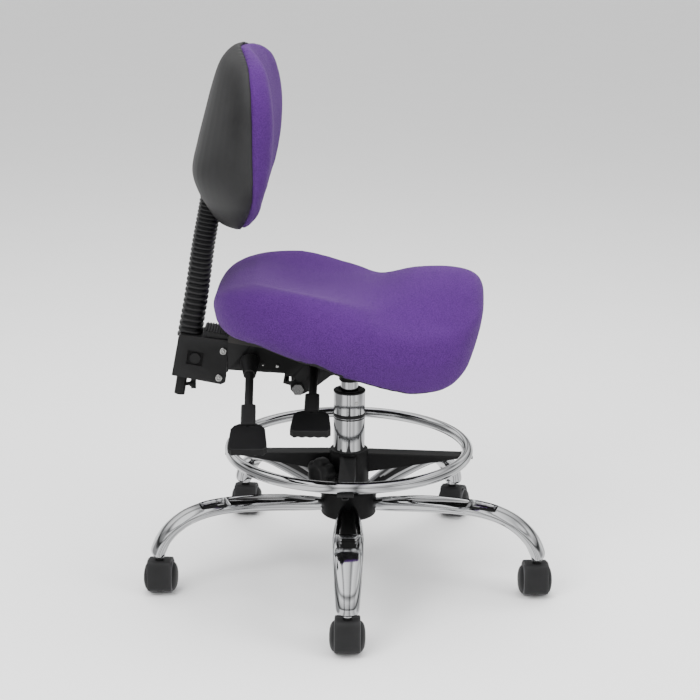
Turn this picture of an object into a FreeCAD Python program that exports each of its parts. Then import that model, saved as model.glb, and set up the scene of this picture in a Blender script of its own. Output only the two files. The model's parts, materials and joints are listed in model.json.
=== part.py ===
import FreeCAD, Part
import Sketcher
import math
import os
import re
from FreeCAD import Placement, Rotation, Vector

# A saddle-seat swivel stool with a backrest.  Millimetres.  The origin is on
# the floor under the column; +Z is up and +X is the way the sitter faces.

UP = Vector(0, 0, 1)
FORWARD = Vector(1, 0, 0)
LEFT = Vector(0, 1, 0)
ORIGIN = Vector(0, 0, 0)

doc = FreeCAD.newDocument("saddle_stool")

# ---------------------------------------------------------------- dimensions

DIMENSIONS = (
    # base
    ("leg_count", 5), ("front_leg_angle", -90),
    ("hub_radius", 32), ("hub_bottom", 102), ("hub_top", 147),
    ("cover_radius", 46), ("cover_wall", 3), ("cover_bottom", 106),
    ("leg_window_half", 14.5), ("leg_window_low", 112.5), ("leg_window_high", 140.5),
    ("socket_radius", 9), ("socket_low", 66), ("socket_depth", 22),
    # casters
    ("caster_circle", 314), ("wheel_radius", 25), ("wheel_reach", 27),
    ("caster_trail", 16.5), ("hood_width", 38), ("hood_wall", 2.6),
    ("wheel_gap", 0.9), ("hood_top", 57), ("hood_front", 12), ("web_half", 2.6),
    ("axle_radius", 3), ("axle_length", 41), ("stem_radius", 5.5),
    ("stem_low", 49), ("stem_collar", 7.5), ("collar_top", 65), ("running_gap", 0.05),
    # column and gas lift
    ("column_radius", 25), ("column_bore", 20), ("column_bottom", 92),
    ("column_top", 312), ("taper_top", 140), ("taper_step", 0.8),
    ("groove_low", 269), ("groove_high", 277), ("groove_depth", 1.6),
    ("bush_low", 182), ("bush_high", 315.5), ("cylinder_radius", 14),
    ("cylinder_bore", 11.4), ("cylinder_low", 108), ("cylinder_high", 369),
    ("socket_start", 330), ("cone_step", 0.8), ("rod_radius", 5),
    ("rod_low", 85), ("piston_low", 262), ("pin_radius", 3), ("pin_top", 376),
    # foot ring
    ("ring_radius", 190.8), ("ring_tube", 9), ("ring_height", 217),
    ("ring_twist", -1.5), ("sleeve_radius", 27.5), ("spider_radius", 34),
    ("spider_low", 155), ("spider_top", 214), ("arm_width", 25),
    ("knob_radius", 26), ("knob_angle", 222), ("knob_height", 186),
    # seat carrier
    ("seat_pitch", 9), ("plate_height", 392), ("sheet_metal", 3),
    ("pivot_back", 81), ("pivot_height", 327), ("pivot_radius", 5),
    ("chassis_half", 32.5), ("channel_half", 37), ("tongue_half", 27.5),
    ("cone_radius", 17), ("socket_end", 372),
    # levers
    ("lever_half_step", 40), ("tilt_lever_x", -156), ("tilt_lever_z", 375),
    ("tilt_droop", 20), ("tilt_yaw", 2.2), ("lift_lever_x", -55.5), ("lift_lever_z", 362),
    ("lift_droop", 13.4), ("lift_yaw", -0.4), ("lever_radius", 6.5), ("paddle_width", 57),
    ("cross_pin_radius", 2.5), ("lug_thick", 4), ("lug_gap", 8.4), ("lug_front", 43.5),
    ("paddle_thick", 12), ("neck_width", 22),
    # back upright
    ("back_lean", 9.7), ("bar_radius", 8.5), ("bar_foot_x", -272),
    ("bar_foot_z", 306), ("bar_length", 398), ("bracket_half", 32),
    ("hinge_x", -198.5), ("hinge_z", 385), ("stop_x", -206), ("stop_z", 341.5),
    ("bellows_deep", 35), ("bellows_wide", 50), ("bellows_length", 240),
    # seat and back
    ("board_length", 286), ("board_width", 250), ("board_thick", 12),
    ("soft_gap", 0.4), ("shell_wall", 4),
)

sheet = doc.addObject("Spreadsheet::Sheet", "Sizes")
for row, (alias, number) in enumerate(DIMENSIONS, start=1):
    sheet.set("A%d" % row, alias)
    sheet.set("B%d" % row, str(number))
    sheet.setAlias("B%d" % row, alias)
doc.recompute()
ALIASES = {alias for alias, number in DIMENSIONS}


def bound(text):
    """An expression in which every dimension name points at its sheet cell."""
    def cell(match):
        word = match.group(0)
        return "Sizes." + word if word in ALIASES else word
    return re.sub(r"[a-z_]+", cell, text)


def size(measure):
    """The value of a number, a dimension name or an expression of them."""
    if isinstance(measure, str):
        return float(sheet.evalExpression(bound(measure)))
    return float(measure)


def bind(feature, prop, measure):
    """Sets a property from the sheet, or to a plain number."""
    if isinstance(measure, str):
        feature.setExpression(prop, bound(measure))
    else:
        setattr(feature, prop, measure)


# ------------------------------------------------------------ shape helpers

sub_parts = []


def keep(feature, node, placement=None):
    """Names a finished sub-part and puts it in its place."""
    feature.Label = node
    if placement is not None:
        feature.Placement = placement
    sub_parts.append(feature)
    return feature


def spot(across, along, height):
    return Vector(size(across), size(along), size(height))


def turn_to(direction):
    """The rotation that lays a shape's own Z along a direction."""
    return Rotation(UP, direction)


def outline_sketch(body, plane, name, outline):
    """A closed outline whose every corner is tied to the sheet's sizes."""
    sketch = body.newObject("Sketcher::SketchObject", name)
    planes = {item.Role: item for item in body.Origin.OriginFeatures}
    sketch.AttachmentSupport = [(planes[plane], "")]
    sketch.MapMode = "FlatFace"
    corners = [Vector(size(x), size(y), 0) for x, y in outline]
    for index, corner in enumerate(corners):
        following = corners[(index + 1) % len(corners)]
        sketch.addGeometry(Part.LineSegment(corner, following))
    for index in range(len(corners)):
        following = (index + 1) % len(corners)
        sketch.addConstraint(Sketcher.Constraint("Coincident", index, 2, following, 1))
    for index, point in enumerate(outline):
        for kind, measure in zip(("DistanceX", "DistanceY"), point):
            number = sketch.addConstraint(
                Sketcher.Constraint(kind, -1, 1, index, 1, size(measure)))
            if isinstance(measure, str):
                sketch.setExpression("Constraints[%d]" % number, bound(measure))
    return sketch


def turned_body(name, outline):
    """A part turned about Z, from its (radius, height) outline."""
    body = doc.addObject("PartDesign::Body", name)
    sketch = outline_sketch(body, "XZ_Plane", name + "_profile", outline)
    turn = body.newObject("PartDesign::Revolution", name + "_turn")
    turn.Profile = sketch
    turn.ReferenceAxis = (sketch, ["V_Axis"])
    turn.Angle = 360
    return body


def padded_body(name, plane, outline, width):
    """A plate cut to an outline, its width centred on the sketch's plane."""
    body = doc.addObject("PartDesign::Body", name)
    sketch = outline_sketch(body, plane, name + "_outline", outline)
    pad = body.newObject("PartDesign::Pad", name + "_pad")
    pad.Profile = sketch
    pad.SideType = "Symmetric"
    bind(pad, "Length", width)
    return body


def pocket_body(body, plane, name, outline, width):
    """Clears an outline through a body, centred on the sketch's plane."""
    doc.recompute()
    solid_before = body.Shape.Volume
    sketch = outline_sketch(body, plane, name + "_outline", outline)
    pocket = body.newObject("PartDesign::Pocket", name)
    pocket.Profile = sketch
    pocket.SideType = "Symmetric"
    bind(pocket, "Length", width)
    doc.recompute()
    if body.Shape.Volume >= solid_before:
        raise ValueError(name + " removed nothing")
    return body


def round_edges(body, name, radius, chosen):
    """Fillets those edges of a body's last feature that chosen() accepts."""
    doc.recompute()
    feature = body.Tip
    edges = ["Edge%d" % (index + 1) for index, edge in enumerate(feature.Shape.Edges)
             if chosen(edge)]
    fillet = body.newObject("PartDesign::Fillet", name)
    fillet.Base = (feature, edges)
    bind(fillet, "Radius", radius)
    return body


def runs_along(edge, direction):
    """True for a straight edge that is parallel to a direction."""
    if edge.Curve.TypeId != "Part::GeomLine":
        return False
    return abs(abs(edge.tangentAt(edge.FirstParameter).dot(direction)) - 1) < 1e-6


def cylinder(name, radius, height, base, direction=UP):
    """A round bar from a base point along a direction."""
    feature = doc.addObject("Part::Cylinder", name)
    bind(feature, "Radius", radius)
    bind(feature, "Height", height)
    feature.Placement = Placement(base, turn_to(direction))
    return feature


def block(name, length, width, height, centre, rotation=Rotation()):
    """A box of the given X, Y and Z sizes about its centre."""
    feature = doc.addObject("Part::Box", name)
    bind(feature, "Length", length)
    bind(feature, "Width", width)
    bind(feature, "Height", height)
    corner = Vector(-size(length) / 2, -size(width) / 2, -size(height) / 2)
    feature.Placement = Placement(centre + rotation.multVec(corner), rotation)
    return feature


def fused(name, pieces):
    feature = doc.addObject("Part::MultiFuse", name)
    feature.Shapes = pieces
    feature.Refine = True
    return feature


def cut(name, base, tools):
    """The base with every tool taken out of it."""
    feature = doc.addObject("Part::Cut", name)
    feature.Base = base
    feature.Tool = tools[0] if len(tools) == 1 else fused(name + "_tools", tools)
    return feature


def solid_part(name, shape):
    """A sub-part whose shape is built by Part's own functions."""
    feature = doc.addObject("Part::Feature", name)
    feature.Shape = shape
    return feature


def group(name, solids):
    """Identical fasteners kept as one sub-part of several solids."""
    feature = doc.addObject("Part::Compound", name)
    feature.Links = solids
    return feature


def smooth_loop(points):
    """A closed smooth wire through the points."""
    curve = Part.BSplineCurve()
    curve.interpolate(points, PeriodicFlag=True)
    return Part.Wire([curve.toShape()])


def ray(angle):
    """The level direction at an angle in degrees from +X."""
    return Vector(math.cos(math.radians(angle)), math.sin(math.radians(angle)), 0)


# --------------------------------------------------------------------- base

def build_hub():
    outline = [("column_radius - taper_step", "hub_bottom"), ("hub_radius", "hub_bottom"),
               ("hub_radius", "hub_top"), ("column_radius", "hub_top"),
               ("column_radius", "taper_top")]
    keep(turned_body("base_hub", outline), "base_hub")


# Middle line of a leg: distance from the column, height, slope in degrees,
# then the half height and half width of the section there.
LEG_STATIONS = (
    (28, 123.5, 9, 10, 9),
    (45, 126, 8.6, 11, 10.5),
    (62, 128.2, 8, 11.5, 14.5),
    (85, 131.2, 7, 12, 17.2),
    (115, 135, 5.6, 12.3, 19.6),
    (160, 138.5, 2, 11.5, 22.2),
    (205, 139, -3, 10, 23.8),
    (240, 135, -13, 9.7, 23.6),
    (268, 126, -26, 10, 22.4),
    (290, 112, -41, 10.4, 20.8),
    (305.5, 95, -57, 10.8, 19.2),
    (314.5, 77, -70, 11, 17.6),
    (317, 67, -78, 7.5, 13),
)


def leg_section(distance, height, slope, half_height, half_width):
    """A softly squared oval, square to the leg's middle line."""
    count = 14
    squareness = 0.84
    lean = math.radians(slope)
    points = []
    for index in range(count):
        angle = 2 * math.pi * index / count
        side = math.copysign(abs(math.cos(angle)) ** squareness, math.cos(angle))
        rise = math.copysign(abs(math.sin(angle)) ** squareness, math.sin(angle))
        points.append(Vector(distance - rise * half_height * math.sin(lean),
                             side * half_width,
                             height + rise * half_height * math.cos(lean)))
    return smooth_loop(points)


def slot_tool(outline, floor_near, floor_far):
    """A block over a plan outline, above a floor that slopes along the leg."""
    top = 170
    start = min(x for x, y in outline)
    end = max(x for x, y in outline)
    both_sides = list(outline) + [(x, -y) for x, y in reversed(outline)]
    plan = Part.makePolygon([Vector(x, y, 0) for x, y in both_sides + both_sides[:1]])
    column = Part.Face(plan).extrude(Vector(0, 0, top))
    side = [(start - 5, floor_near), (end + 5, floor_far), (end + 5, top), (start - 5, top)]
    wall = Part.makePolygon([Vector(x, -60, z) for x, z in side + side[:1]])
    return column.common(Part.Face(wall).extrude(Vector(0, 120, 0)))


def leg_shape():
    """One leg on +X: a curved chrome tube with an open trough on its top."""
    tube = Part.makeLoft([leg_section(*station) for station in LEG_STATIONS], True, False)
    reach = size("caster_circle")
    socket = Part.makeCylinder(size("socket_radius"), size("socket_depth") + 4,
                               Vector(reach, 0, size("socket_low")))
    leg = tube.fuse(socket)
    trough = slot_tool([(52, 5.5), (62, 7.5), (90, 10.5), (130, 13), (165, 14.2), (180, 13.8), (190, 11)],
                       123.5, 136)
    window = slot_tool([(199, 13), (214, 12.5), (232, 8), (244, 2.5)], 138, 131)
    bore = Part.makeCylinder(size("stem_radius + running_gap"), size("socket_depth") + 10,
                             Vector(reach, 0, size("socket_low") - 10))
    hub = Part.makeCylinder(size("hub_radius"), 200)
    for tool in (trough, window, bore, hub):
        leg = leg.cut(tool)
    return leg.Solids[0]


def leg_angle(number):
    return size("front_leg_angle") + 360.0 * number / size("leg_count")


def build_legs():
    shape = leg_shape()
    for number in range(int(size("leg_count"))):
        node = "leg_%d" % (number + 1)
        turn = Placement(ORIGIN, Rotation(UP, leg_angle(number)))
        keep(solid_part(node, shape.copy()), node, turn)


def build_hub_cover():
    outline = [("column_radius + soft_gap", "hub_top + soft_gap"),
               ("cover_radius - cover_wall", "hub_top + soft_gap"),
               ("cover_radius - cover_wall", "cover_bottom"),
               ("cover_radius - 1", "cover_bottom"), ("cover_radius", "cover_bottom + 4"),
               ("cover_radius", "hub_top + 2"), ("cover_radius - 2", "hub_top + 4"),
               ("column_radius + soft_gap", "hub_top + 4")]
    ring = turned_body("cover_ring", outline)
    windows = []
    middle = size("leg_window_low + leg_window_high") / 2
    for number in range(int(size("leg_count"))):
        angle = leg_angle(number)
        windows.append(block("leg_window_%d" % number, "hub_radius",
                             "2 * leg_window_half", "leg_window_high - leg_window_low",
                             ray(angle) * size("cover_radius") + UP * middle,
                             Rotation(UP, angle)))
    keep(cut("hub_cover", ring, windows), "hub_cover")


# ------------------------------------------------------------------ casters

# The way each caster trails, in degrees from +X, leg by leg.
CASTER_TRAILS = (90, 91, 73, 86, 89)


def caster_place(number):
    foot = ray(leg_angle(number)) * size("caster_circle")
    return Placement(foot, Rotation(UP, CASTER_TRAILS[number] - 90))


def build_caster_hood(number):
    """The hood: a shell over both wheels, a web between them and a stem boss."""
    tag = "_%d" % (number + 1)
    width = size("hood_width")
    axle = spot(0, "caster_trail", "wheel_radius")
    drum = cylinder("hood_drum" + tag, "wheel_radius + wheel_gap + hood_wall", "hood_width",
                    axle - FORWARD * (width / 2), FORWARD)
    front = size("hood_front")
    low, high = size("wheel_radius"), size("hood_top")
    boss_end = 9.0
    boss = block("hood_boss" + tag, "hood_width", "hood_front + %g" % boss_end,
                 "hood_top - wheel_radius",
                 Vector(0, (boss_end - front) / 2, (low + high) / 2))
    shell = fused("hood_shell" + tag, [drum, boss])
    corners = doc.addObject("Part::Fillet", "hood_corners" + tag)
    corners.Base = shell
    doc.recompute()
    corners.Edges = [(index + 1, 4.0, 4.0) for index, edge in enumerate(shell.Shape.Edges)
                     if runs_along(edge, FORWARD) and edge.CenterOfMass.z > high - 1]
    tools = []
    for side, sign in (("near", 1), ("far", -1)):
        tools.append(cylinder("wheel_space_" + side + tag, "wheel_radius + wheel_gap", 40,
                              axle + FORWARD * (sign * size("web_half")), FORWARD * sign))
    tools.append(block("hood_rear" + tag, 80, 60, 60, Vector(0, 54, 42 - 30)))
    tools.append(block("hood_under" + tag, 80, 120, 20, Vector(0, 0, -1)))
    tools.append(cylinder("stem_hole" + tag, "stem_radius", 30, spot(0, 0, "stem_low")))
    tools.append(cylinder("axle_hole" + tag, "axle_radius", 60, axle - FORWARD * 30, FORWARD))
    hood = cut("caster_hood" + tag, corners, tools)
    keep(hood, "caster_hood" + tag, caster_place(number))


def build_caster_pins(number):
    """The two steel pins of a caster: its stem and its axle."""
    tag = "_%d" % (number + 1)
    top = "socket_low + socket_depth - 0.5"
    stem = turned_body("stem" + tag, [
        (0, "stem_low"), ("stem_radius", "stem_low"), ("stem_radius", "hood_top"),
        ("stem_collar", "hood_top"), ("stem_collar", "collar_top"),
        ("stem_radius", "collar_top"), ("stem_radius", top), (0, top)])
    axle = cylinder("axle" + tag, "axle_radius", "axle_length",
                    Vector(-size("axle_length") / 2, size("caster_trail"),
                           size("wheel_radius")), FORWARD)
    keep(group("caster_pins" + tag, [stem, axle]), "caster_pins" + tag, caster_place(number))


def build_caster_wheel(number, side, sign):
    """One wheel, turned about its axle: a soft tread and a domed outer face."""
    node = "caster_wheel_%d_%s" % (number + 1, side)
    inner = "web_half + soft_gap"
    outline = [("axle_radius + running_gap", inner), ("wheel_radius - 2", inner),
               ("wheel_radius", inner + " + 1.6"), ("wheel_radius", 18.6),
               ("wheel_radius - 0.7", 20.2), ("wheel_radius - 2.4", 21),
               (20.6, 23.2), (17, 25), (12, 26.3), (6, "wheel_reach - 0.1"),
               (0, "wheel_reach"), (0, "axle_length / 2 + 0.5"),
               ("axle_radius + running_gap", "axle_length / 2 + 0.5")]
    wheel = turned_body(node + "_body", outline)
    axle = Placement(spot(0, "caster_trail", "wheel_radius"), turn_to(FORWARD * sign))
    keep(wheel, node, caster_place(number).multiply(axle))


def build_casters():
    for number in range(int(size("leg_count"))):
        build_caster_hood(number)
        build_caster_pins(number)
        build_caster_wheel(number, "right", 1)
        build_caster_wheel(number, "left", -1)


# --------------------------------------------------------- column, gas lift

def build_column():
    groove = "column_radius - groove_depth"
    keep(turned_body("column", [
        ("rod_radius + soft_gap", "column_bottom"),
        ("column_radius - taper_step", "column_bottom"),
        ("column_radius - taper_step", "hub_bottom"), ("column_radius", "taper_top"),
        ("column_radius", "groove_low"), (groove, "groove_low"), (groove, "groove_high"),
        ("column_radius", "groove_high"), ("column_radius", "column_top"),
        ("column_bore", "column_top"), ("column_bore", "column_bottom + 4"),
        ("rod_radius + soft_gap", "column_bottom + 4")]), "column_tube")
    keep(turned_body("seal", [
        (groove, "groove_low"), ("column_radius - 0.2", "groove_low"),
        ("column_radius + 0.5", "groove_low + 2"), ("column_radius + 0.5", "groove_high - 2"),
        ("column_radius - 0.2", "groove_high"), (groove, "groove_high")]), "seal_ring")
    keep(turned_body("bush", [
        ("cylinder_radius + running_gap", "bush_low"), ("column_bore", "bush_low"),
        ("column_bore", "column_top"), ("column_radius + 0.5", "column_top"),
        ("column_radius + 0.5", "bush_high - 1"), ("column_radius - 1", "bush_high"),
        ("cylinder_radius + running_gap", "bush_high")]), "guide_bush")
    keep(turned_body("bearing", [
        ("rod_radius + soft_gap", "column_bottom + 4"), (12, "column_bottom + 4"),
        (12, "column_bottom + 8"), ("rod_radius + soft_gap", "column_bottom + 8")]),
        "thrust_bearing")


def build_gas_lift():
    shoulder = "column_bottom + 8.1"
    keep(turned_body("rod", [
        (0, "rod_low"), (8, "rod_low"), (8, "rod_low + 2.5"), ("rod_radius", "rod_low + 2.5"),
        ("rod_radius", shoulder), (9, shoulder), (9, shoulder + " + 4"),
        ("rod_radius", shoulder + " + 4"), ("rod_radius", "piston_low"),
        ("cylinder_bore - running_gap", "piston_low"),
        ("cylinder_bore - running_gap", "piston_low + 10"), (0, "piston_low + 10")]),
        "piston_rod")
    keep(turned_body("cylinder", [
        ("rod_radius + running_gap", "cylinder_low"), ("cylinder_radius", "cylinder_low"),
        ("cylinder_radius", "socket_start"), ("cylinder_radius - cone_step", "cylinder_high"),
        ("pin_radius + running_gap", "cylinder_high"),
        ("pin_radius + running_gap", "cylinder_high - 14"),
        ("cylinder_bore", "cylinder_high - 14"), ("cylinder_bore", "cylinder_low + 10"),
        ("rod_radius + running_gap", "cylinder_low + 10")]), "pressure_tube")
    foot = "cylinder_high - 20"
    keep(turned_body("pin", [
        (0, foot), (5, foot), (5, foot + " + 4"), ("pin_radius", foot + " + 4"),
        ("pin_radius", "pin_top"), (0, "pin_top")]), "valve_pin")


# ---------------------------------------------------------------- foot ring

def build_foot_ring():
    torus = doc.addObject("Part::Torus", "ring_tube")
    bind(torus, "Radius1", "ring_radius")
    bind(torus, "Radius2", "ring_tube")
    keep(torus, "foot_ring", Placement(spot(0, 0, "ring_height"), Rotation()))


def build_spider():
    """A hub with four tapering arms; the ring lies in their open ends."""
    hub = turned_body("spider_hub", [
        ("sleeve_radius", "spider_low"), ("spider_radius - 3", "spider_low"),
        ("spider_radius - 1.5", "spider_low + 3"), ("spider_radius - 1.5", "spider_top - 36"),
        ("spider_radius", "spider_top - 32"), ("spider_radius", "spider_top - 7"),
        ("spider_radius - 3", "spider_top"), ("sleeve_radius", "spider_top")])
    twist = size("ring_twist")
    pieces = [hub]
    tip = "ring_radius + 8.5"
    for number in range(4):
        arm = padded_body("arm_%d" % number, "XZ_Plane", [
            ("sleeve_radius + 3", "ring_height - 37"), ("ring_radius - 14", "ring_height - 22"),
            ("ring_radius + 2", "ring_height - 19"), (tip, "ring_height - 14"),
            (tip, "ring_height - 9"), ("ring_radius + 4", "ring_height - 6.5"),
            ("ring_radius - 12", "ring_height - 8"), ("sleeve_radius + 3", "ring_height - 5")],
            "arm_width")
        arm.Placement = Placement(ORIGIN, Rotation(UP, twist + 90 * number))
        pieces.append(arm)
    pieces.append(cylinder("knob_boss", 13, 18, knob_point(30), ray(size("knob_angle"))))
    bed = doc.addObject("Part::Torus", "ring_bed")
    bind(bed, "Radius1", "ring_radius")
    bind(bed, "Radius2", "ring_tube")
    bed.Placement = Placement(spot(0, 0, "ring_height"), Rotation())
    bore = cylinder("sleeve_bore", "sleeve_radius + running_gap", 100,
                    spot(0, 0, "spider_low - 10"))
    thread = cylinder("knob_thread", 4 + size("running_gap"), 60, knob_point(20),
                      ray(size("knob_angle")))
    holes = [ring_screw_shank("ring_screw_hole_%d" % arm, arm) for arm in range(4)]
    keep(cut("spider", fused("spider_solid", pieces), [bed, bore, thread] + holes),
         "ring_spider")


def knob_point(distance):
    return ray(size("knob_angle")) * distance + UP * size("knob_height")


def ring_screw_point(number):
    return ray(size("ring_twist") + 90 * number) * size("ring_radius")


def ring_screw_shank(name, number):
    """The shank of the screw that holds the ring on one arm, from below."""
    foot = size("ring_height - 20.4")
    return cylinder(name, 2.5, "20.4 - ring_tube - 0.1", ring_screw_point(number) + UP * foot)


def build_ring_screws():
    """Four screws, one under the end of each arm."""
    screws = []
    for number in range(4):
        shank = ring_screw_shank("ring_shank_%d" % number, number)
        head = cylinder("ring_head_%d" % number, 5, 3,
                        ring_screw_point(number) + UP * size("ring_height - 23.4"))
        screws.append(fused("ring_screw_%d" % number, [shank, head]))
    keep(group("screws", screws), "ring_screws")


def build_sleeve():
    """The split nylon sleeve that slides on the column inside the spider."""
    sleeve = turned_body("sleeve_ring", [
        ("column_radius + running_gap", "spider_low + 1"),
        ("sleeve_radius", "spider_low + 1"), ("sleeve_radius", "spider_top + 0.2"),
        ("sleeve_radius + 3", "spider_top + 0.2"), ("sleeve_radius + 3", "spider_top + 2"),
        ("column_radius + running_gap", "spider_top + 2")])
    slit = block("sleeve_slit", 20, 2, 90, Vector(28, 0, 185), Rotation())
    keep(cut("sleeve", sleeve, [slit]), "clamp_sleeve")


def build_clamp_knob():
    """The lobed knob whose screw presses the sleeve on the column."""
    outward = ray(size("knob_angle"))
    rim = 49.0
    wheel = cylinder("knob_wheel", "knob_radius", 18, knob_point(rim), outward)
    collar = cylinder("knob_collar", 11, 4, knob_point(rim - 0.6), outward)
    dome = doc.addObject("Part::Cone", "knob_dome")
    bind(dome, "Radius1", "knob_radius - 2")
    bind(dome, "Radius2", "knob_radius - 8")
    dome.Height = 6
    dome.Placement = Placement(knob_point(rim + 18), turn_to(outward))
    screw = cylinder("knob_screw", 4, rim - size("sleeve_radius") - 0.3 + 2,
                     knob_point(size("sleeve_radius") + 0.3), outward)
    lobes = []
    for index in range(6):
        angle = math.radians(60 * index)
        across = outward.cross(UP) * math.cos(angle) + UP * math.sin(angle)
        lobes.append(cylinder("knob_scallop_%d" % index, 7.5, 40,
                              knob_point(rim - 5) + across * (size("knob_radius") + 3.5),
                              outward))
    solid = fused("knob_solid", [wheel, collar, dome, screw])
    keep(cut("knob", solid, lobes), "clamp_knob")


# ------------------------------------------------------------- seat carrier

def plate_line(across, above=0.0):
    """Height of the pitched seat plate's underside at a distance along X."""
    return (size("plate_height") + above
            - across * math.tan(math.radians(size("seat_pitch"))))


def pitched():
    return Rotation(LEFT, size("seat_pitch"))


def build_chassis():
    """The fixed carrier: two cheeks, a web and the taper socket for the lift."""
    cheeks = padded_body("cheeks", "XZ_Plane", [
        (-93, "pivot_height - 4"), (-87, "pivot_height - 11"), (-76, "pivot_height - 12"),
        (-65, "pivot_height - 7"), (-49, "pivot_height + 4"), (-30, "pivot_height + 19"),
        (-14, "pivot_height + 24"), (36, "pivot_height + 24"), (36, "socket_end - 1"),
        (-60, "socket_end - 1"), (-78, "pivot_height + 22"), (-94, "pivot_height + 6")],
        "2 * chassis_half")
    pocket_body(cheeks, "XZ_Plane", "cheek_space", [
        (-120, 280), (-32, 280), (-32, "pivot_height + 22"), (-26, "pivot_height + 28"),
        (60, "pivot_height + 28"), (60, 420), (-120, 420)],
        "2 * (chassis_half - sheet_metal)")
    cone = turned_body("lift_cone", [
        ("cylinder_radius", "socket_start"), ("cone_radius - 1.5", "socket_start"),
        ("cone_radius", "socket_start + 2"), ("cone_radius", "socket_end"),
        ("cylinder_radius - cone_step", "socket_end"),
        ("cylinder_radius - cone_step", "cylinder_high")])
    web_hole = cylinder("web_hole", "cylinder_radius + 2", 80, spot(0, 0, 320))
    cheeks_open = cut("cheeks_open", cheeks, [web_hole])
    pivot = cylinder("chassis_pivot", "pivot_radius", 100, pivot_point(-50), LEFT)
    lever_gap = cylinder("lever_opening", 7, 20,
                         spot("lift_lever_x", -42, "lift_lever_z"), LEFT)
    lug = lever_lug("lift_lug", "lift", 1, "chassis_half")
    pin_hole = cross_pin("lift_pin_hole", "lift", "running_gap", 0, 20)
    keep(cut("chassis_cut", fused("chassis_solid", [cheeks_open, cone, lug]),
             [pivot, lever_gap, pin_hole]), "chassis")


def pivot_point(across):
    return spot("-pivot_back", across, "pivot_height")


def hex_head(name, across_flats, height, base, direction):
    """A six-sided bolt head."""
    prism = doc.addObject("Part::Prism", name)
    prism.Polygon = 6
    prism.Circumradius = across_flats / math.sqrt(3)
    prism.Height = height
    prism.Placement = Placement(base, turn_to(direction))
    return prism


def build_pivot_bolt():
    reach = 41.0
    shank = cylinder("pivot_shank", "pivot_radius", 2 * reach, pivot_point(-reach), LEFT)
    head = hex_head("pivot_head", 17, 6, pivot_point(-reach), LEFT * -1)
    nut = hex_head("pivot_nut", 17, 7, pivot_point(reach), LEFT)
    keep(fused("pivot", [shank, head, nut]), "pivot_bolt")


def build_seat_channel():
    """The tilting channel: folded walls, the seat plate and the rear tongue."""
    rear, nose = -191.0, 60.0
    walls = padded_body("walls", "XZ_Plane", [
        (rear, 409), (-150, 405), (-128, plate_line(-128)), (nose, plate_line(nose)), (nose, 375),
        (-60.5, 376), (-67, 345), (-71, "pivot_height"), (-74, "pivot_height - 7"),
        (-81, "pivot_height - 9.5"), (-88, "pivot_height - 6"), (-92, "pivot_height + 4"),
        (-105, "pivot_height + 8"), (-102, 351), (rear, 356)], "2 * channel_half")
    lining = size("sheet_metal")
    pocket_body(walls, "XZ_Plane", "wall_space", [
        (rear - 20, 440), (-150, 440), (-150, plate_line(-150) - lining),
        (nose + 20, plate_line(nose + 20) - lining), (nose + 20, 280), (rear - 20, 280)],
        "2 * (channel_half - sheet_metal)")
    tongue = padded_body("tongue", "XZ_Plane", [
        (-208, 394), (-212, 385), (-208, 376), (-199, 371), (-186, 364), (-150, 362),
        (-150, 404), (-176, 401), (-188, 398), (-199, 397)],
        "2 * tongue_half")
    pocket_body(tongue, "XZ_Plane", "tongue_space",
                [(-240, 340), (-140, 340), (-140, 440), (-240, 440)],
                "2 * (tongue_half - sheet_metal)")
    plate_middle = Vector(-30, 0, plate_line(-30)) + seat_axis() * (lining / 2)
    plate = block("plate", 200, 190, "sheet_metal", plate_middle, pitched())
    cutters = [
        cylinder("channel_pivot", "pivot_radius + running_gap", 100, pivot_point(-50), LEFT),
        cylinder("hinge_hole", "pivot_radius + running_gap", 100,
                 spot("hinge_x", -50, "hinge_z"), LEFT),
        cylinder("tilt_opening", 8, 20, spot("tilt_lever_x", -50, "tilt_lever_z"), LEFT),
        cross_pin("tilt_pin_hole", "tilt", "running_gap", 20, 20)]
    for index, across in enumerate((-99.5, -93.5, -87.5)):
        cutters.append(block("ear_slot_%d" % index, 3, 100, 8, Vector(across, 0, 342)))
    solids = [walls, tongue, plate, lever_lug("tilt_lug_rear", "tilt", -1, "channel_half"),
              lever_lug("tilt_lug_front", "tilt", 1, "channel_half")] + [
        cylinder("rivet_%d_%s" % (index, side), 3.2, 1.6, Vector(across, start, height), LEFT)
        for index, (across, height) in enumerate(((-136, 365), (-113.5, 363)))
        for side, start in (("right", -38.6), ("left", 37))]
    keep(cut("channel", fused("channel_solid", solids), cutters + seat_holes()),
         "seat_channel")


def seat_screw_points():
    """Where the seat screws pass the plate, on its pitched underside."""
    return [Vector(x, y, plate_line(x)) for x in (-110, 50) for y in (-75, 75)]


def seat_axis():
    return pitched().multVec(UP)


def seat_holes():
    return [cylinder("seat_hole_%d" % index, 3.2, 30, point - seat_axis() * 10, seat_axis())
            for index, point in enumerate(seat_screw_points())]


def build_seat_screws():
    screws = []
    for index, point in enumerate(seat_screw_points()):
        shank = cylinder("seat_shank_%d" % index, 3, 12, point - seat_axis() * 0.2, seat_axis())
        head = hex_head("seat_head_%d" % index, 10, 4, point - seat_axis() * 0.1,
                        seat_axis() * -1)
        screws.append(fused("seat_screw_%d" % index, [shank, head]))
    keep(group("seat_screw_group", screws), "seat_screws")


# ------------------------------------------------------------------- levers

def lever_frame(kind):
    """Local Y along a lever from its pivot, local Z out of its underside."""
    droop = Rotation(FORWARD, 180 + size(kind + "_droop"))
    yaw = Rotation(UP, size(kind + "_yaw"))
    pivot = spot(kind + "_lever_x", "-lever_half_step", kind + "_lever_z")
    return Placement(pivot, yaw.multiply(droop))


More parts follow.
